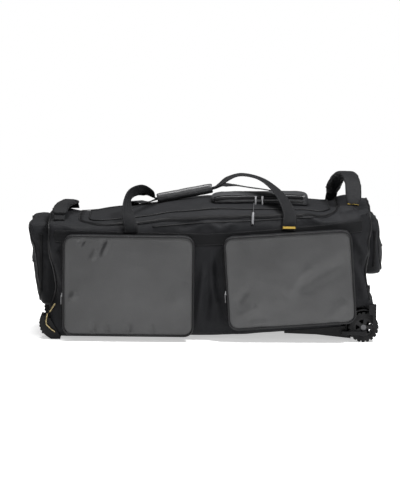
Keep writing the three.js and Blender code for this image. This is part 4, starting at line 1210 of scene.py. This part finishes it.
@dataclass
class EndPiping:
    """Piping round the rim of one end panel."""

    skin: BagSkin
    end: End
    x: float
    half: float
    band: float
    crest: float
    foot: float
    radius: float = 2.8 * MM
    middle: float = 18.9
    narrow: float = 0.985
    sink: float = 2.0
    crown: tuple[tuple[float, float], ...] = (
        (1.0, 0.0), (0.955, 0.32), (0.88, 0.6), (0.74, 0.8), (0.52, 0.92), (0.27, 0.985), (0.0, 1.0)
    )

    def make(self, shop: Workshop) -> None:
        """Fits the piping."""
        rise = [(self.half, z) for z in np.linspace(self.foot, self.band, 14)]
        over = [
            (self.half * across, self.band + (self.crest - self.band) * up)
            for across, up in self.crown[1:]
        ]
        half = rise + over
        outline = half + [(-y, z) for y, z in reversed(half[:-1])]
        route = [
            Vector((self.x, self.middle + y * self.narrow, z - self.sink)) * MM for y, z in outline
        ]
        path = []
        for place in spaced(route, 9 * MM):
            near, normal, _, _ = self.skin.tree.find_nearest(place)
            path.append(near + normal * self.radius * 0.6)
        for _ in range(2):
            path = [path[0]] + [
                (a + b * 2 + c) / 4 for a, b, c in zip(path, path[1:], path[2:])
            ] + [path[-1]]
        name = self.end.name.lower()
        shop.fit(
            tube(path, self.radius, 10), f"end_piping_{name}_cord", shop.finishes.piping,
            [f"end_piping_{name}"],
        )


@dataclass
class FrontPocket:
    """A box pocket on the front: gusset, piping, coated panel and side zip; sizes in millimetres."""

    name: str
    centre: tuple[float, float]
    width: float
    height: float
    tilt: float
    folds: tuple[Fold, ...]
    corner: float = 28
    depth: float = 33
    face: float = -163.7
    piping: float = 2.8
    crease: float = 2.0
    voxel: float = 5 * MM
    stitch: tuple[float, float, float] = (1.4 * MM, 0.4 * MM, 0.35 * MM)
    seam: float = 9.5
    lip: float = 6
    rim: float = 2.5
    zip_share: float = 0.36

    def place(self, a: float, b: float, h: float) -> Vector:
        """Returns the place a along the pocket, b up it and h out from its back."""
        turn = math.radians(self.tilt)
        x = self.centre[0] + a * math.cos(turn) - b * math.sin(turn)
        z = self.centre[1] + a * math.sin(turn) + b * math.cos(turn)
        return Vector((x, self.face - h, z)) * MM

    def local(self, place: Vector) -> tuple[float, float, float]:
        """Returns a, b and h of a place."""
        turn = math.radians(self.tilt)
        x, z = place.x / MM - self.centre[0], place.z / MM - self.centre[1]
        a = x * math.cos(turn) + z * math.sin(turn)
        b = -x * math.sin(turn) + z * math.cos(turn)
        return a, b, self.face - place.y / MM

    def inward(self, place: Vector) -> float:
        """Returns how far a place lies inside the pocket's outline, in millimetres."""
        a, b, _ = self.local(place)
        x = abs(a) - self.width / 2 + self.corner
        y = abs(b) - self.height / 2 + self.corner
        return self.corner - math.hypot(max(x, 0), max(y, 0)) - min(max(x, y), 0)

    def box(self) -> Mesh:
        """Returns the pocket's closed outer form."""
        mesh = bmesh.new()
        size = Matrix.Diagonal((self.width, self.depth, self.height, 1.0))
        bmesh.ops.create_cube(mesh, size=1.0, matrix=size)
        upright = [e for e in mesh.edges if abs(e.verts[0].co.y - e.verts[1].co.y) > 1]
        chamfered(mesh, upright, self.corner, 7)
        for vert in mesh.verts:
            vert.co = self.place(vert.co.x, vert.co.z, self.depth / 2 - vert.co.y)
        bmesh.ops.recalc_face_normals(mesh, faces=mesh.faces)
        return mesh

    def held(self, place: Vector) -> float:
        """Holds the pocket's back, its sides and its rim."""
        depth = self.local(place)[2]
        if depth < self.depth - 5:
            return 1.0
        return float(np.clip(1.4 - (self.inward(place) - 4) / 14, 0, 1))

    def push(self, points: np.ndarray, normals: np.ndarray) -> np.ndarray:
        """Returns how far the pocket's cloth stands out at each point."""
        x, _, z = points.T
        inward = np.array([self.inward(Vector(p)) for p in points])
        free = np.clip((inward - 3) / 14, 0, 1)
        front = np.clip(-normals[:, 1] * 2 - 0.6, 0, 1)
        soft = lumps(points, 0.085, 21.0) * 2.2 * MM + lumps(points, 0.03, 4.0) * 0.6 * MM
        sides = lumps(points * np.array([1.5, 0.5, 1.5]), 0.03, 9.0) * 0.9 * MM
        puffed = 0.0
        height = front * free * (folded(self.folds, x, z) * self.crease + soft + puffed)
        return height + (1 - front) * sides

    def make(self, shop: Workshop) -> None:
        """Fits the pocket."""
        whole = remeshed(self.box(), self.voxel)
        relaxed(whole, 3)
        whole = Inflation(most=9 * MM).run(whole, self.held)
        relaxed(whole, 2)
        refined(whole)
        moved(whole, self.push)
        relaxed(whole, 1)
        self.tree = tree_of(whole)
        panel, gusset = split(
            whole, lambda p: self.inward(p) > self.rim and self.local(p)[2] > self.depth - self.lip
        )
        stem = f"pocket_{self.name}"
        piece = shop.fit(
            panel, f"{stem}_front", shop.finishes.panel, [f"{stem}_panel"]
        )
        shop.fit(gusset, f"{stem}_sides", shop.finishes.gusset, [f"{stem}_gusset"])
        rim = self.outline(self.piping, 7)
        path = [self.place(a, b, self.depth + 0.4) for a, b in rim]
        shop.fit(
            tube(path, self.piping * MM, 10, closed=True), f"{stem}_piping_cord",
            shop.finishes.piping, [f"{stem}_piping"],
        )
        self.sew(shop, stem)
        self.side_zip(shop, stem)

    def outline(self, inset: float, step: float) -> list[tuple[float, float]]:
        """Returns the pocket's outline, drawn in, as a and b."""
        return rounded(
            self.width - 2 * inset, self.height - 2 * inset, max(4.0, self.corner - inset), step
        )

    def on_front(self, a: float, b: float) -> tuple[Vector, Vector]:
        """Returns the panel's cloth at a place."""
        start = self.place(a, b, 120)
        place, normal, _, _ = self.tree.ray_cast(start, Vector((0, 1, 0)), 1.0)
        return (place, normal) if place else (self.place(a, b, self.depth), Vector((0, -1, 0)))

    def sew(self, shop: Workshop, stem: str) -> None:
        """Fits the row of stitches inside the piping."""
        seam = [self.on_front(a, b) for a, b in self.outline(self.seam, 4.2)]
        stitches = row_of(grains_along(seam + seam[:1]), self.stitch, True)
        shop.fit(stitches, f"{stem}_stitching", shop.finishes.stitch)

    def side_zip(self, shop: Workshop, stem: str) -> None:
        """Fits the zip down the pocket's left side, and its slider."""
        out = (self.place(-1, 0, 0) - self.place(0, 0, 0)).normalized()
        half = self.height * self.zip_share
        path = [
            (self.place(-self.width / 2 - 0.4, b, self.depth * 0.45), out)
            for b in np.linspace(-half, half, 30)
        ]
        ZipChain().make(shop, f"{stem}_zip_chain", path, "zip_tape", [f"{stem}_zip"])
        top = self.place(-self.width / 2 - 1.5, -self.height * 0.1, self.depth * 0.45)
        down = (self.place(0, -1, 0) - self.place(0, 0, 0)).normalized()
        ZipSlider(f"{stem}_zip_slider", top, down, out).make(shop, [f"{stem}_slider"])


@dataclass
class ZipSlider:
    """A cast slider and its long puller, hanging down; sizes in millimetres."""

    name: str
    top: Vector
    down: Vector
    out: Vector
    body: tuple[float, float, float] = (7.0, 12.0, 4.0)
    puller: tuple[float, float, float] = (5.4, 26.0, 1.6)
    rim: float = 1.3
    chamfer: float = 1.0
    taper: float = 0.7

    def make(self, shop: Workshop, replaces: Sequence[str]) -> None:
        """Fits the slider."""
        mesh = bmesh.new()
        wide, long, thick = self.body
        size = Matrix.Diagonal((wide, long, thick, 1.0))
        made = bmesh.ops.create_cube(mesh, size=1.0, matrix=size)["verts"]
        for vert in made:
            if vert.co.y > 0:
                vert.co.x *= self.taper
        chamfered(mesh, mesh.edges[:], self.chamfer, 2)
        wide, long, thick = self.puller
        lift = Matrix.Translation((0, long / 2 + 1.0, self.body[2] / 2 + thick / 2))
        plate = bmesh.new()
        bmesh.ops.create_cube(
            plate, size=1.0, matrix=lift @ Matrix.Diagonal((wide, long, thick, 1.0))
        )
        broad = [f for f in plate.faces if abs(f.normal.z) > 0.9]
        bmesh.ops.inset_region(plate, faces=broad, thickness=self.rim)
        chamfered(plate, plate.edges[:], 0.35, 1)
        data = bpy.data.meshes.new("plate")
        plate.to_mesh(data)
        mesh.from_mesh(data)
        plate.free()
        side = self.down.cross(self.out).normalized()
        turn = Matrix((side, self.down, self.out)).transposed().to_4x4()
        mesh.transform(Matrix.Translation(self.top) @ turn @ Matrix.Scale(MM, 4))
        bmesh.ops.recalc_face_normals(mesh, faces=mesh.faces)
        shop.fit(mesh, self.name, shop.finishes.steel, replaces, smooth=False)


@dataclass
class CarryHandle:
    """One carry handle of webbing, from one foot through the grip to the other."""

    name: str
    route: Route
    thick: float = 2.5 * MM
    width: float = 38 * MM
    cup: float = 0.9 * MM
    steps: int = 150
    columns: int = 6
    stitch: tuple[float, float, float] = (1.5 * MM, 0.4 * MM, 0.35 * MM)

    def make(self, shop: Workshop) -> None:
        """Fits the handle and its stitching."""
        sections = []
        for step in range(self.steps + 1):
            share = step / self.steps
            place, wide, through, width = self.route.frame(share)
            cup = self.cup * noise.noise(Vector((share * 14, 3.0, 1.0)))
            sections.append(
                [
                    place + wide * width * (c / self.columns - 0.5)
                    + through * cup * (1 - (2 * c / self.columns - 1) ** 2)
                    for c in range(self.columns + 1)
                ]
            )
        across = [self.width * (c / self.columns - 0.5) for c in range(self.columns + 1)]
        piece = shop.fit(
            strap(sections, across), f"handle_{self.name}_webbing", shop.finishes.webbing,
            [f"handle_{self.name}"],
        )
        shop.thicken(piece, self.thick, 0.0)
        shop.soften(piece)
        self.sew(shop)

    def sew(self, shop: Workshop) -> None:
        """Fits the rows of stitches near both edges, on both faces."""
        grains = []
        for side in (-1, 1):
            line, outs = [], []
            for step in range(self.steps + 1):
                place, wide, through, width = self.route.frame(step / self.steps)
                line.append(place + wide * width * 0.42 * side)
                outs.append(through)
            facing = Nearest(line, outs)
            even = spaced(line, 5 * MM)
            for a, b in zip(even, even[1:]):
                out = facing.at(a)
                for face in (-1, 1):
                    middle = a.lerp(b, 0.5) + out * face * (self.thick / 2 + 0.1 * MM)
                    grains.append((middle, b - a, out))
        stitches = row_of(grains, self.stitch, True)
        shop.fit(stitches, f"handle_{self.name}_stitching", shop.finishes.stitch)


def closed_pouch(node: str, voxel: float, outward: Vector) -> Mesh:
    """Returns a hollow CAD pouch, whose mouth faces away from outward, as one closed form."""
    mesh = merged(node)
    drop_inner(mesh, outward)
    rim = [e for e in mesh.edges if e.is_boundary]
    bmesh.ops.holes_fill(mesh, edges=rim, sides=0)
    bmesh.ops.triangulate(mesh, faces=[f for f in mesh.faces if len(f.verts) > 4])
    bmesh.ops.recalc_face_normals(mesh, faces=mesh.faces)
    return remeshed(mesh, voxel)


@dataclass
class EndPocket:
    """A soft pocket on one end panel."""

    end: End
    folds: tuple[Fold, ...]
    seam: float = 0.5
    voxel: float = 5 * MM
    rim: float = 13 * MM
    corner: float = 30 * MM
    ends: float = 15 * MM
    zip_out: float = 0.12
    zip_foot: float = 0.16
    zip_head: float = 0.14

    def make(self, shop: Workshop) -> None:
        """Fits the pocket."""
        name = self.end.name.lower()
        whole = closed_pouch(
            f"end_pocket_{name}", self.voxel, Vector((self.end.value, 0, 0))
        )
        low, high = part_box(f"end_pocket_{name}")
        face = high.x if self.end is End.LEFT else low.x
        relaxed(whole, 4)

        def held(place: Vector) -> float:
            """Holds the pocket's back."""
            return float(np.clip(1.5 - abs(place.x - face) / (18 * MM), 0, 1))

        whole = Inflation(most=6 * MM).run(whole, held)
        relaxed(whole, 2)
        refined(whole)

        def push(points: np.ndarray, normals: np.ndarray) -> np.ndarray:
            """Returns how far the cloth stands out."""
            x, y, z = points.T
            out = np.clip(np.abs(normals[:, 0]) * 1.5, 0, 1)
            side = np.clip(-normals[:, 1] * 1.5, 0, 1)
            soft = lumps(points, 0.06, 31.0) * 2.2 * MM + lumps(points, 0.022, 7.0) * 0.8 * MM
            return out * folded(self.folds, y, z) + side * folded(self.folds, x * 4, z) + soft

        moved(whole, push)
        relaxed(whole, 1)
        tree = tree_of(whole)
        piece = shop.fit(
            whole, f"end_pocket_{name}_cloth", shop.finishes.body,
            [f"end_pocket_{name}"],
        )
        self.trim(shop, name, tree, low, high)

    def trim(
        self, shop: Workshop, name: str, tree: BVHTree, low: Vector, high: Vector
    ) -> None:
        """Fits the piped outline of the outer face, its cross seam and the zip up the front side."""
        sign = self.end.value
        middle = (low + high) / 2

        def outer(y: float, z: float) -> Vector | None:
            """Returns the outer face's cloth."""
            place, normal, _, _ = tree.ray_cast(Vector((sign * 0.7, y, z)), Vector((-sign, 0, 0)))
            return place + normal * 0.8 * MM if place else None

        wide, tall = high.y - low.y, high.z - low.z
        ring = rounded(wide - 2 * self.rim, tall - 2 * self.rim, self.corner, 7 * MM)
        path = [outer(middle.y + a, middle.z + b) for a, b in ring]
        path = [place for place in path if place]
        shop.fit(
            tube(path, 2.2 * MM, 8, closed=True), f"end_pocket_{name}_piping", shop.finishes.piping,
        )
        level = low.z + self.seam * tall
        line = [outer(y, level) for y in np.arange(low.y + self.ends, high.y - self.ends, 7 * MM)]
        shop.fit(
            tube([place for place in line if place], 1.5 * MM, 8), f"end_pocket_{name}_seam",
            shop.finishes.piping,
        )
        x = middle.x + sign * (high.x - low.x) * self.zip_out
        zipped = []
        for z in np.arange(low.z + self.zip_foot * tall, high.z - self.zip_head * tall, 7 * MM):
            place, normal, _, _ = tree.ray_cast(Vector((x, -0.5, z)), Vector((0, 1, 0)))
            if place:
                zipped.append((place, normal))
        ZipChain(tape=10 * MM).make(
            shop, f"end_pocket_{name}_zip", zipped, "zip_tape", [], cloth=tree
        )


@dataclass
class TopPocket:
    """The zipped coated pocket lying on the lid."""

    folds: tuple[Fold, ...]
    voxel: float = 3.5 * MM
    ends: float = 10 * MM
    behind: float = 14 * MM
    deepest: float = 25 * MM

    def make(self, shop: Workshop) -> None:
        """Fits the pocket."""
        whole = closed_pouch("top_pocket", self.voxel, Vector((0, 0, 1)))
        low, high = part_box("top_pocket")
        relaxed(whole, 3)

        def held(place: Vector) -> float:
            """Holds the pocket's underside."""
            return 1.0 if place.z < low.z + 12 * MM else 0.0

        whole = Inflation(most=4 * MM).run(whole, held)
        relaxed(whole, 1)
        refined(whole)

        def push(points: np.ndarray, normals: np.ndarray) -> np.ndarray:
            """Returns how far the cloth stands out."""
            x, y, z = points.T
            front = np.clip(-normals[:, 1] * 1.5, 0, 1)
            soft = lumps(points, 0.035, 41.0) * 1.4 * MM + lumps(points, 0.014, 6.0) * 0.5 * MM
            return front * folded(self.folds, x, z) + soft

        moved(whole, push)
        relaxed(whole, 1)
        tree = tree_of(whole)
        piece = shop.fit(
            whole, "top_pocket_cloth", shop.finishes.gloss, ["top_pocket"]
        )
        self.trim(shop, tree, low, high)

    def trim(self, shop: Workshop, tree: BVHTree, low: Vector, high: Vector) -> None:
        """Fits the zip along the front and the piped edges above and below it."""
        for drop, name in ((3.0 * MM, "top_pocket_piping_high"), (21.0 * MM, "top_pocket_piping_low")):
            path = [p + n * 0.5 * MM for p, n in self.front_line(tree, low, high, drop)]
            shop.fit(tube(path, 1.5 * MM, 8), name, shop.finishes.piping)
        chain = ZipChain(tape=9 * MM, pitch=2.6 * MM, tooth=(0.8 * MM, 1.8 * MM, 0.9 * MM))
        chain.make(
            shop, "top_pocket_zip", self.front_line(tree, low, high, 10 * MM), "zip_tape", [],
            cloth=tree,
        )

    def front_line(
        self, tree: BVHTree, low: Vector, high: Vector, drop: float
    ) -> list[tuple[Vector, Vector]]:
        """Returns places and normals along the front, so far below its top edge."""
        line = []
        for x in np.arange(low.x + self.ends, high.x - self.ends, 6 * MM):
            top, _, _, _ = tree.ray_cast(Vector((x, low.y + self.behind, 0.7)), Vector((0, 0, -1)))
            if not top:
                continue
            start = Vector((x, low.y - 0.2, top.z - drop))
            place, normal, _, _ = tree.ray_cast(start, Vector((0, 1, 0)))
            if place and place.y < low.y + self.deepest:
                line.append((place, normal))
        return line


@dataclass(frozen=True)
class StitchRow:
    """A row of stitches between two places in millimetres."""

    name: str
    slot: str
    start: tuple[float, float, float]
    end: tuple[float, float, float]
    pitch: float = 3.2 * MM


@dataclass
class Padding:
    """A padded piece blown up from its CAD solid: a shoulder strap's pad or the grip's wrap."""

    node: str
    name: str
    slot: str
    voxel: float
    most: float
    rows: tuple[StitchRow, ...] = ()

    def make(self, shop: Workshop, material: bpy.types.Material) -> None:
        """Fits the piece."""
        whole = remeshed(merged(self.node), self.voxel)
        relaxed(whole, 2)
        whole = Inflation(most=self.most).run(whole)
        relaxed(whole, 1)
        refined(whole)

        def push(points: np.ndarray, normals: np.ndarray) -> np.ndarray:
            """Returns how far the cover stands out."""
            return lumps(points, 0.03, 13.0) * 0.9 * MM + lumps(points, 0.011, 2.0) * 0.3 * MM

        moved(whole, push)
        tree = tree_of(whole)
        piece = shop.fit(whole, self.name, material, [self.node])
        for row in self.rows:
            self.sew(shop, tree, row)

    def sew(self, shop: Workshop, tree: BVHTree, row: StitchRow) -> None:
        """Fits one row of stitches on the cover."""
        line = [Vector(p) * MM for p in (row.start, row.end)]
        points = [tree.find_nearest(p)[:2] for p in spaced(line, row.pitch)]
        grains = grains_along(points, 0.2 * MM)
        finish = shop.finishes.yellow if row.slot == "yellow_thread" else shop.finishes.stitch
        size = (row.pitch * 0.42, 0.7 * MM, 0.5 * MM)
        shop.fit(row_of(grains, size, True), row.name, finish)


@dataclass
class StrapTail:
    """The webbing between a shoulder strap's pad and the bag."""

    name: str
    route: Route
    share: tuple[float, float]
    width: float = 32 * MM
    thick: float = 2.5 * MM
    steps: int = 20
    columns: int = 4

    def make(self, shop: Workshop) -> None:
        """Fits the tail."""
        low, high = self.share
        sections = []
        across = [self.width * (c / self.columns - 0.5) for c in range(self.columns + 1)]
        for step in range(self.steps + 1):
            place, wide, _, _ = self.route.frame(low + (high - low) * step / self.steps)
            sections.append([place + wide * over for over in across])
        piece = shop.fit(
            strap(sections, across), f"{self.name}_webbing", shop.finishes.tail, [self.name]
        )
        shop.thicken(piece, self.thick, 0.0)


@dataclass
class Moulded:
    """A rigid piece: its CAD solid with its edges rounded."""

    node: str
    slot: str
    body: str = "bag"
    edge: float = 0.8 * MM

    def make(self, shop: Workshop, material: bpy.types.Material) -> None:
        """Fits the piece."""
        mesh = merged(self.node)
        bmesh.ops.dissolve_limit(
            mesh, angle_limit=math.radians(1.5), use_dissolve_boundaries=False, verts=mesh.verts,
            edges=mesh.edges, delimit=set(),
        )
        name = f"{self.node}_moulding"
        piece = shop.fit(mesh, name, material, [self.node], self.body, smooth=False)
        shop.bevel(piece, self.edge)


HANDLE_FRONT = Route((
    (-211, -165, 306, 1.00, 0.00, 0.00, 38),
    (-212, -165, 322, 1.00, 0.00, 0.00, 38),
    (-219, -151, 352, 0.95, 0.20, -0.20, 38),
    (-222, -111, 383, 0.60, 0.45, -0.65, 38),
    (-215, -71, 404, 0.10, 0.50, -0.85, 38),
    (-191, -35, 411, -0.20, 0.45, -0.87, 38),
    (-166, 1, 398, -0.45, 0.70, -0.55, 38),
    (-148, 21, 382, 0.00, 1.00, 0.00, 20),
    (-126, 21, 387, 0.00, 1.00, 0.00, 20),
    (1, 21, 412, 0.00, 1.00, 0.00, 20),
    (23, 21, 416, 0.00, 1.00, 0.00, 20),
    (50, -4, 437, 0.00, 0.96, 0.29, 38),
    (97, -40, 459, 0.20, 0.98, 0.10, 38),
    (149, -62, 452, 0.37, 0.93, 0.00, 38),
    (186, -87, 431, 0.55, 0.83, 0.00, 38),
    (215, -120, 402, 0.80, 0.60, 0.00, 38),
    (234, -151, 362, 0.98, 0.20, 0.00, 38),
    (233, -165, 339, 1.00, 0.00, 0.00, 38),
    (231, -165, 317, 1.00, 0.00, 0.00, 38),
))
HANDLE_REAR = Route((
    (-211, 203, 306, 1.00, 0.00, 0.00, 38),
    (-212, 203, 318, 1.00, 0.00, 0.00, 38),
    (-214, 189, 338, 1.00, 0.10, 0.00, 38),
    (-210, 140, 356, 0.95, 0.30, 0.00, 38),
    (-199, 89, 364, 0.71, 0.71, 0.00, 38),
    (-173, 50, 366, 0.29, 0.96, 0.00, 38),
    (-147, 21, 377, 0.00, 1.00, 0.00, 20),
    (-125, 21, 382, 0.00, 1.00, 0.00, 20),
    (2, 21, 407, 0.00, 1.00, 0.00, 20),
    (24, 21, 412, 0.00, 1.00, 0.00, 20),
    (45, 39, 420, 0.00, 0.98, 0.20, 38),
    (79, 57, 418, -0.29, 0.96, 0.00, 38),
    (123, 78, 409, -0.50, 0.86, 0.00, 38),
    (171, 111, 399, -0.65, 0.76, 0.00, 38),
    (209, 150, 386, -0.80, 0.60, 0.00, 38),
    (230, 189, 359, -1.00, 0.10, 0.00, 38),
    (232, 203, 335, -1.00, 0.00, 0.00, 38),
    (231, 203, 317, -1.00, 0.00, 0.00, 38),
))
SHOULDER_LEFT = Route(tuple((*row, 1.0, 0.0, 0.0, 48.0) for row in (
    (-415.3, -125.1, 335.5), (-415.3, -103.5, 345.5), (-413.5, -74.7, 357.8),
    (-408.0, -31.5, 366.6), (-398.9, 15.3, 367.5), (-390.7, 63.9, 363.3),
    (-385.3, 105.3, 351.0), (-383.4, 130.5, 337.5),
)))
SHOULDER_RIGHT = Route(tuple((*row, 1.0, 0.0, 0.0, 48.0) for row in (
    (412.8, -125.1, 367.4), (413.7, -107.1, 378.0), (415.5, -89.1, 413.0),
    (411.0, -53.1, 452.2), (396.4, -0.9, 464.0), (381.0, 54.9, 447.8),
    (369.1, 108.9, 417.1), (362.8, 159.3, 380.4), (360.0, 189.9, 350.0),
)))
PULL_LOOP = (
    (134.3, -89.1, 385.0), (133.4, -107.1, 380.6), (132.5, -125.1, 371.9), (131.6, -137.7, 364.9),
)
PULL_TUBE = ((131.6, -139.8, 363.6), (130.7, -148.5, 352.0), (129.8, -157.5, 332.7))


@dataclass
class LidPull:
    """The lid zip's pull: a cord loop that ends in a grip tube."""

    cord: float = 1.4 * MM
    grip: float = 3.4 * MM

    def make(self, shop: Workshop) -> None:
        """Fits the loop and the tube."""
        loop = Route(tuple((*row, 1.0, 0.0, 0.0, 3.0) for row in PULL_LOOP))
        path = [loop.place(i / 16) for i in range(17)]
        shop.fit(
            tube(path, self.cord, 8), "lid_pull_cord", shop.finishes.stitch, ["lid_pull_loop"]
        )
        run = Route(tuple((*row, 1.0, 0.0, 0.0, 7.0) for row in PULL_TUBE))
        path = [run.place(i / 12) for i in range(13)]
        shop.fit(
            tube(path, self.grip, 12), "lid_pull_grip", shop.finishes.tube,
            ["lid_pull_tube"],
        )


@dataclass
class Studio:
    """The floor, the lights and the camera; lengths in metres."""

    distance: float = 9.0
    elevation: float = 8.0
    lens: float = 289.0
    aim: tuple[float, float, float] = (-0.017, -0.19, 0.263)
    roll: float = 0.64
    floor: float = 2.6
    floor_glow: float = 0.5
    ambient: float = 0.14
    lamps: tuple[tuple, ...] = (
        ("key", (1.5, -1.4, 3.0), 0.8, 175.0),
        ("fill", (-0.6, -3.2, 1.4), 1.2, 22.0),
        ("top", (-0.5, 0.2, 2.9), 1.2, 80.0),
    )

    def make(self) -> None:
        """Sets the studio up."""
        scene = bpy.context.scene
        mesh = bmesh.new()
        bmesh.ops.create_grid(mesh, x_segments=1, y_segments=1, size=self.floor)
        floor = to_object(mesh, "floor")
        paint = Paint("pale floor")
        pale = paint.finish(
            Base_Color=(0.8, 0.8, 0.8), Roughness=0.9, Emission_Color=(1.0, 1.0, 1.0),
            Emission_Strength=self.floor_glow,
        )
        floor.data.materials.append(pale)
        world = bpy.data.worlds.new("studio")
        world.use_nodes = True
        tree = world.node_tree
        glow = tree.nodes["Background"]
        glow.inputs[0].default_value = (1.0, 1.0, 1.0, 1.0)
        seen = tree.nodes.new("ShaderNodeLightPath").outputs["Is Camera Ray"]
        strength = tree.nodes.new("ShaderNodeMapRange")
        strength.inputs["To Min"].default_value = self.ambient
        strength.inputs["To Max"].default_value = 1.0
        tree.links.new(seen, strength.inputs["Value"])
        tree.links.new(strength.outputs["Result"], glow.inputs["Strength"])
        scene.world = world
        scene.view_settings.view_transform = "Standard"
        for row in self.lamps:
            self.light(*row)
        camera = bpy.data.cameras.new("camera")
        camera.sensor_fit = "HORIZONTAL"
        camera.sensor_width = 36.0
        camera.lens = self.lens
        view = bpy.data.objects.new("camera", camera)
        scene.collection.objects.link(view)
        up = math.radians(self.elevation)
        aim = Vector(self.aim)
        place = aim + Vector((0, -math.cos(up), math.sin(up))) * self.distance
        turn = (aim - place).to_track_quat("-Z", "Y").to_matrix().to_4x4()
        roll = Matrix.Rotation(math.radians(self.roll), 4, "Z")
        view.matrix_world = Matrix.Translation(place) @ turn @ roll
        scene.camera = view

    def light(self, name: str, place: tuple[float, float, float], size: float, power: float) -> None:
        """Hangs a soft lamp that looks at the bag."""
        lamp = bpy.data.lights.new(name, "AREA")
        lamp.shape = "DISK"
        lamp.size = size
        lamp.energy = power
        hung = bpy.data.objects.new(name, lamp)
        bpy.context.scene.collection.objects.link(hung)
        aim = Vector((0, 0, 0.25)) - Vector(place)
        hung.matrix_world = Matrix.Translation(place) @ aim.to_track_quat("-Z", "Y").to_matrix().to_4x4()


LEFT_PANEL_FOLDS = (
    Fold((-281, 294), (-306, 236), -3.4, 8),
    Fold((-270, 292), (-296, 244), 2.2, 8),
    Fold((-300, 270), (-322, 230), 2.0, 9),
    Fold((-360, 288), (-340, 276), -2.5, 12),
    Fold((-316, 20), (-312, 60), -2.2, 8),
    Fold((-274, 22), (-280, 52), -2.0, 8),
    Fold((-218, 20), (-212, 58), -2.2, 8),
    Fold((-146, 22), (-154, 56), -2.0, 8),
    Fold((-380, 118), (-362, 140), 2.6, 9),
    Fold((-60, 180), (-90, 90), 2.0, 20),
)
RIGHT_PANEL_FOLDS = (
    Fold((404, 240), (236, 146), -4.0, 22),
    Fold((300, 230), (220, 130), 2.4, 18),
    Fold((90, 70), (150, 110), 2.6, 12),
    Fold((80, 100), (120, 160), -2.2, 12),
    Fold((120, 50), (180, 60), 2.0, 10),
    Fold((340, 60), (400, 130), 2.0, 16),
)


LEFT_END_FOLDS = (Fold((-90, 250), (80, 230), -4, 12), Fold((-90, 215), (120, 218), 3, 9))
RIGHT_END_FOLDS = (Fold((-90, 300), (80, 250), -3, 12),)
TOP_POCKET_FOLDS = (Fold((20, 396), (280, 398), -1.6, 3),)
# Each end's piping: its X, half its breadth, the heights of band, crest and foot, in millimetres.
END_PIPINGS = (
    (End.LEFT, -446, 164.6, 312, 343.4, 94.6),
    (End.RIGHT, 464, 166.4, 354.1, 382.2, 122.1),
)
# Each front pocket: its name, middle, width, height, tilt in degrees and folds.
FRONT_POCKETS = (
    ("left", (-216.9, 158.7), 370, 286, 0.0, LEFT_PANEL_FOLDS),
    ("right", (236.7, 180.1), 361.1, 266.0, 4.3, RIGHT_PANEL_FOLDS),
)
# Each tail: its node, its strap's route and the stretch that it covers.
STRAP_TAILS = (
    ("strap_tail_left_front", SHOULDER_LEFT, (0.0, 0.15)),
    ("strap_tail_left_rear", SHOULDER_LEFT, (0.85, 1.0)),
    ("strap_tail_right_front", SHOULDER_RIGHT, (0.0, 0.15)),
    ("strap_tail_right_rear", SHOULDER_RIGHT, (0.85, 1.0)),
)
TOP_SLIDERS = (Vector((0.139, -0.0825, 0.398)), Vector((0.158, -0.0825, 0.398)))
TOP_PULLER = (4.4, 18, 1.4)
YELLOW_STITCHES = StitchRow("shoulder_yellow_stitch", "yellow_thread", (391, -115, 388), (436, -115, 384))
# Each padded cover: its node, name and slot, the size of its squares, the most it is blown up, its stitches.
PADDED_COVERS = (
    ("grip_wrap", "grip_wrap_cover", "coated_panel", 2.0 * MM, 2 * MM),
    ("shoulder_strap_left", "shoulder_pad_left", "padding", 3.5 * MM, 4 * MM),
    ("shoulder_strap_right", "shoulder_pad_right", "padding", 3.5 * MM, 4 * MM, (YELLOW_STITCHES,)),
)
UPPER_SEAM = ((-150, 322), (-91, 328), (0, 336), (100, 340), (191, 346), (300, 354), (360, 362))


def main() -> None:
    """Builds the bag piece by piece."""
    logging.basicConfig(level=logging.INFO, format="%(name)s: %(message)s")
    Studio().make()
    shop = Workshop(Finishes())
    skin = BagSkin()
    skin.make()
    log.info("skin: %d points", len(skin.whole.verts))
    skin.cut(shop)
    LidTrim(skin).make(shop)
    for side in Side:
        SideBand(skin, side).make(shop)
        SideSeam(skin, side, f"side_seam_{side.name.lower()}", UPPER_SEAM).make(shop)
    CornerChain(skin).make(shop)
    for row in END_PIPINGS:
        EndPiping(skin, *row).make(shop)
    for row in FRONT_POCKETS:
        FrontPocket(*row).make(shop)
    EndPocket(End.LEFT, LEFT_END_FOLDS).make(shop)
    EndPocket(End.RIGHT, RIGHT_END_FOLDS).make(shop)
    TopPocket(TOP_POCKET_FOLDS).make(shop)
    CarryHandle("front", HANDLE_FRONT).make(shop)
    CarryHandle("rear", HANDLE_REAR).make(shop)
    covers = (shop.finishes.gloss, shop.finishes.padding, shop.finishes.padding)
    for row, cover in zip(PADDED_COVERS, covers):
        Padding(*row).make(shop, cover)
    for row in STRAP_TAILS:
        StrapTail(*row).make(shop)
    LidPull().make(shop)
    for number, top in enumerate(TOP_SLIDERS, 1):
        slider = ZipSlider(
            f"top_pocket_slider_{number}", top, Vector((0, 0, -1)), Vector((0, -1, 0)),
            puller=TOP_PULLER,
        )
        slider.make(shop, [f"top_slider_{number}"])
    finishes = shop.finishes
    Moulded("chassis", "moulding").make(shop, finishes.moulding)
    for side in ("front", "rear"):
        Moulded(f"wheel_housing_{side}", "moulding").make(shop, finishes.moulding)
        Moulded(f"corner_skid_{side}", "moulding").make(shop, finishes.moulding)
        Moulded(f"wheel_tyre_{side}", "tyre", f"wheel_{side}", 0.5 * MM).make(shop, finishes.tyre)
        Moulded(f"wheel_rim_{side}", "wheel_rim", f"wheel_{side}", 0.6 * MM).make(shop, finishes.rim)
        Moulded(f"wheel_axle_{side}", "steel", "bag", 0.4 * MM).make(shop, finishes.pin)
    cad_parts["handle_tab"].data.materials[0] = finishes.yellow


if __name__ == "__main__":
    main()
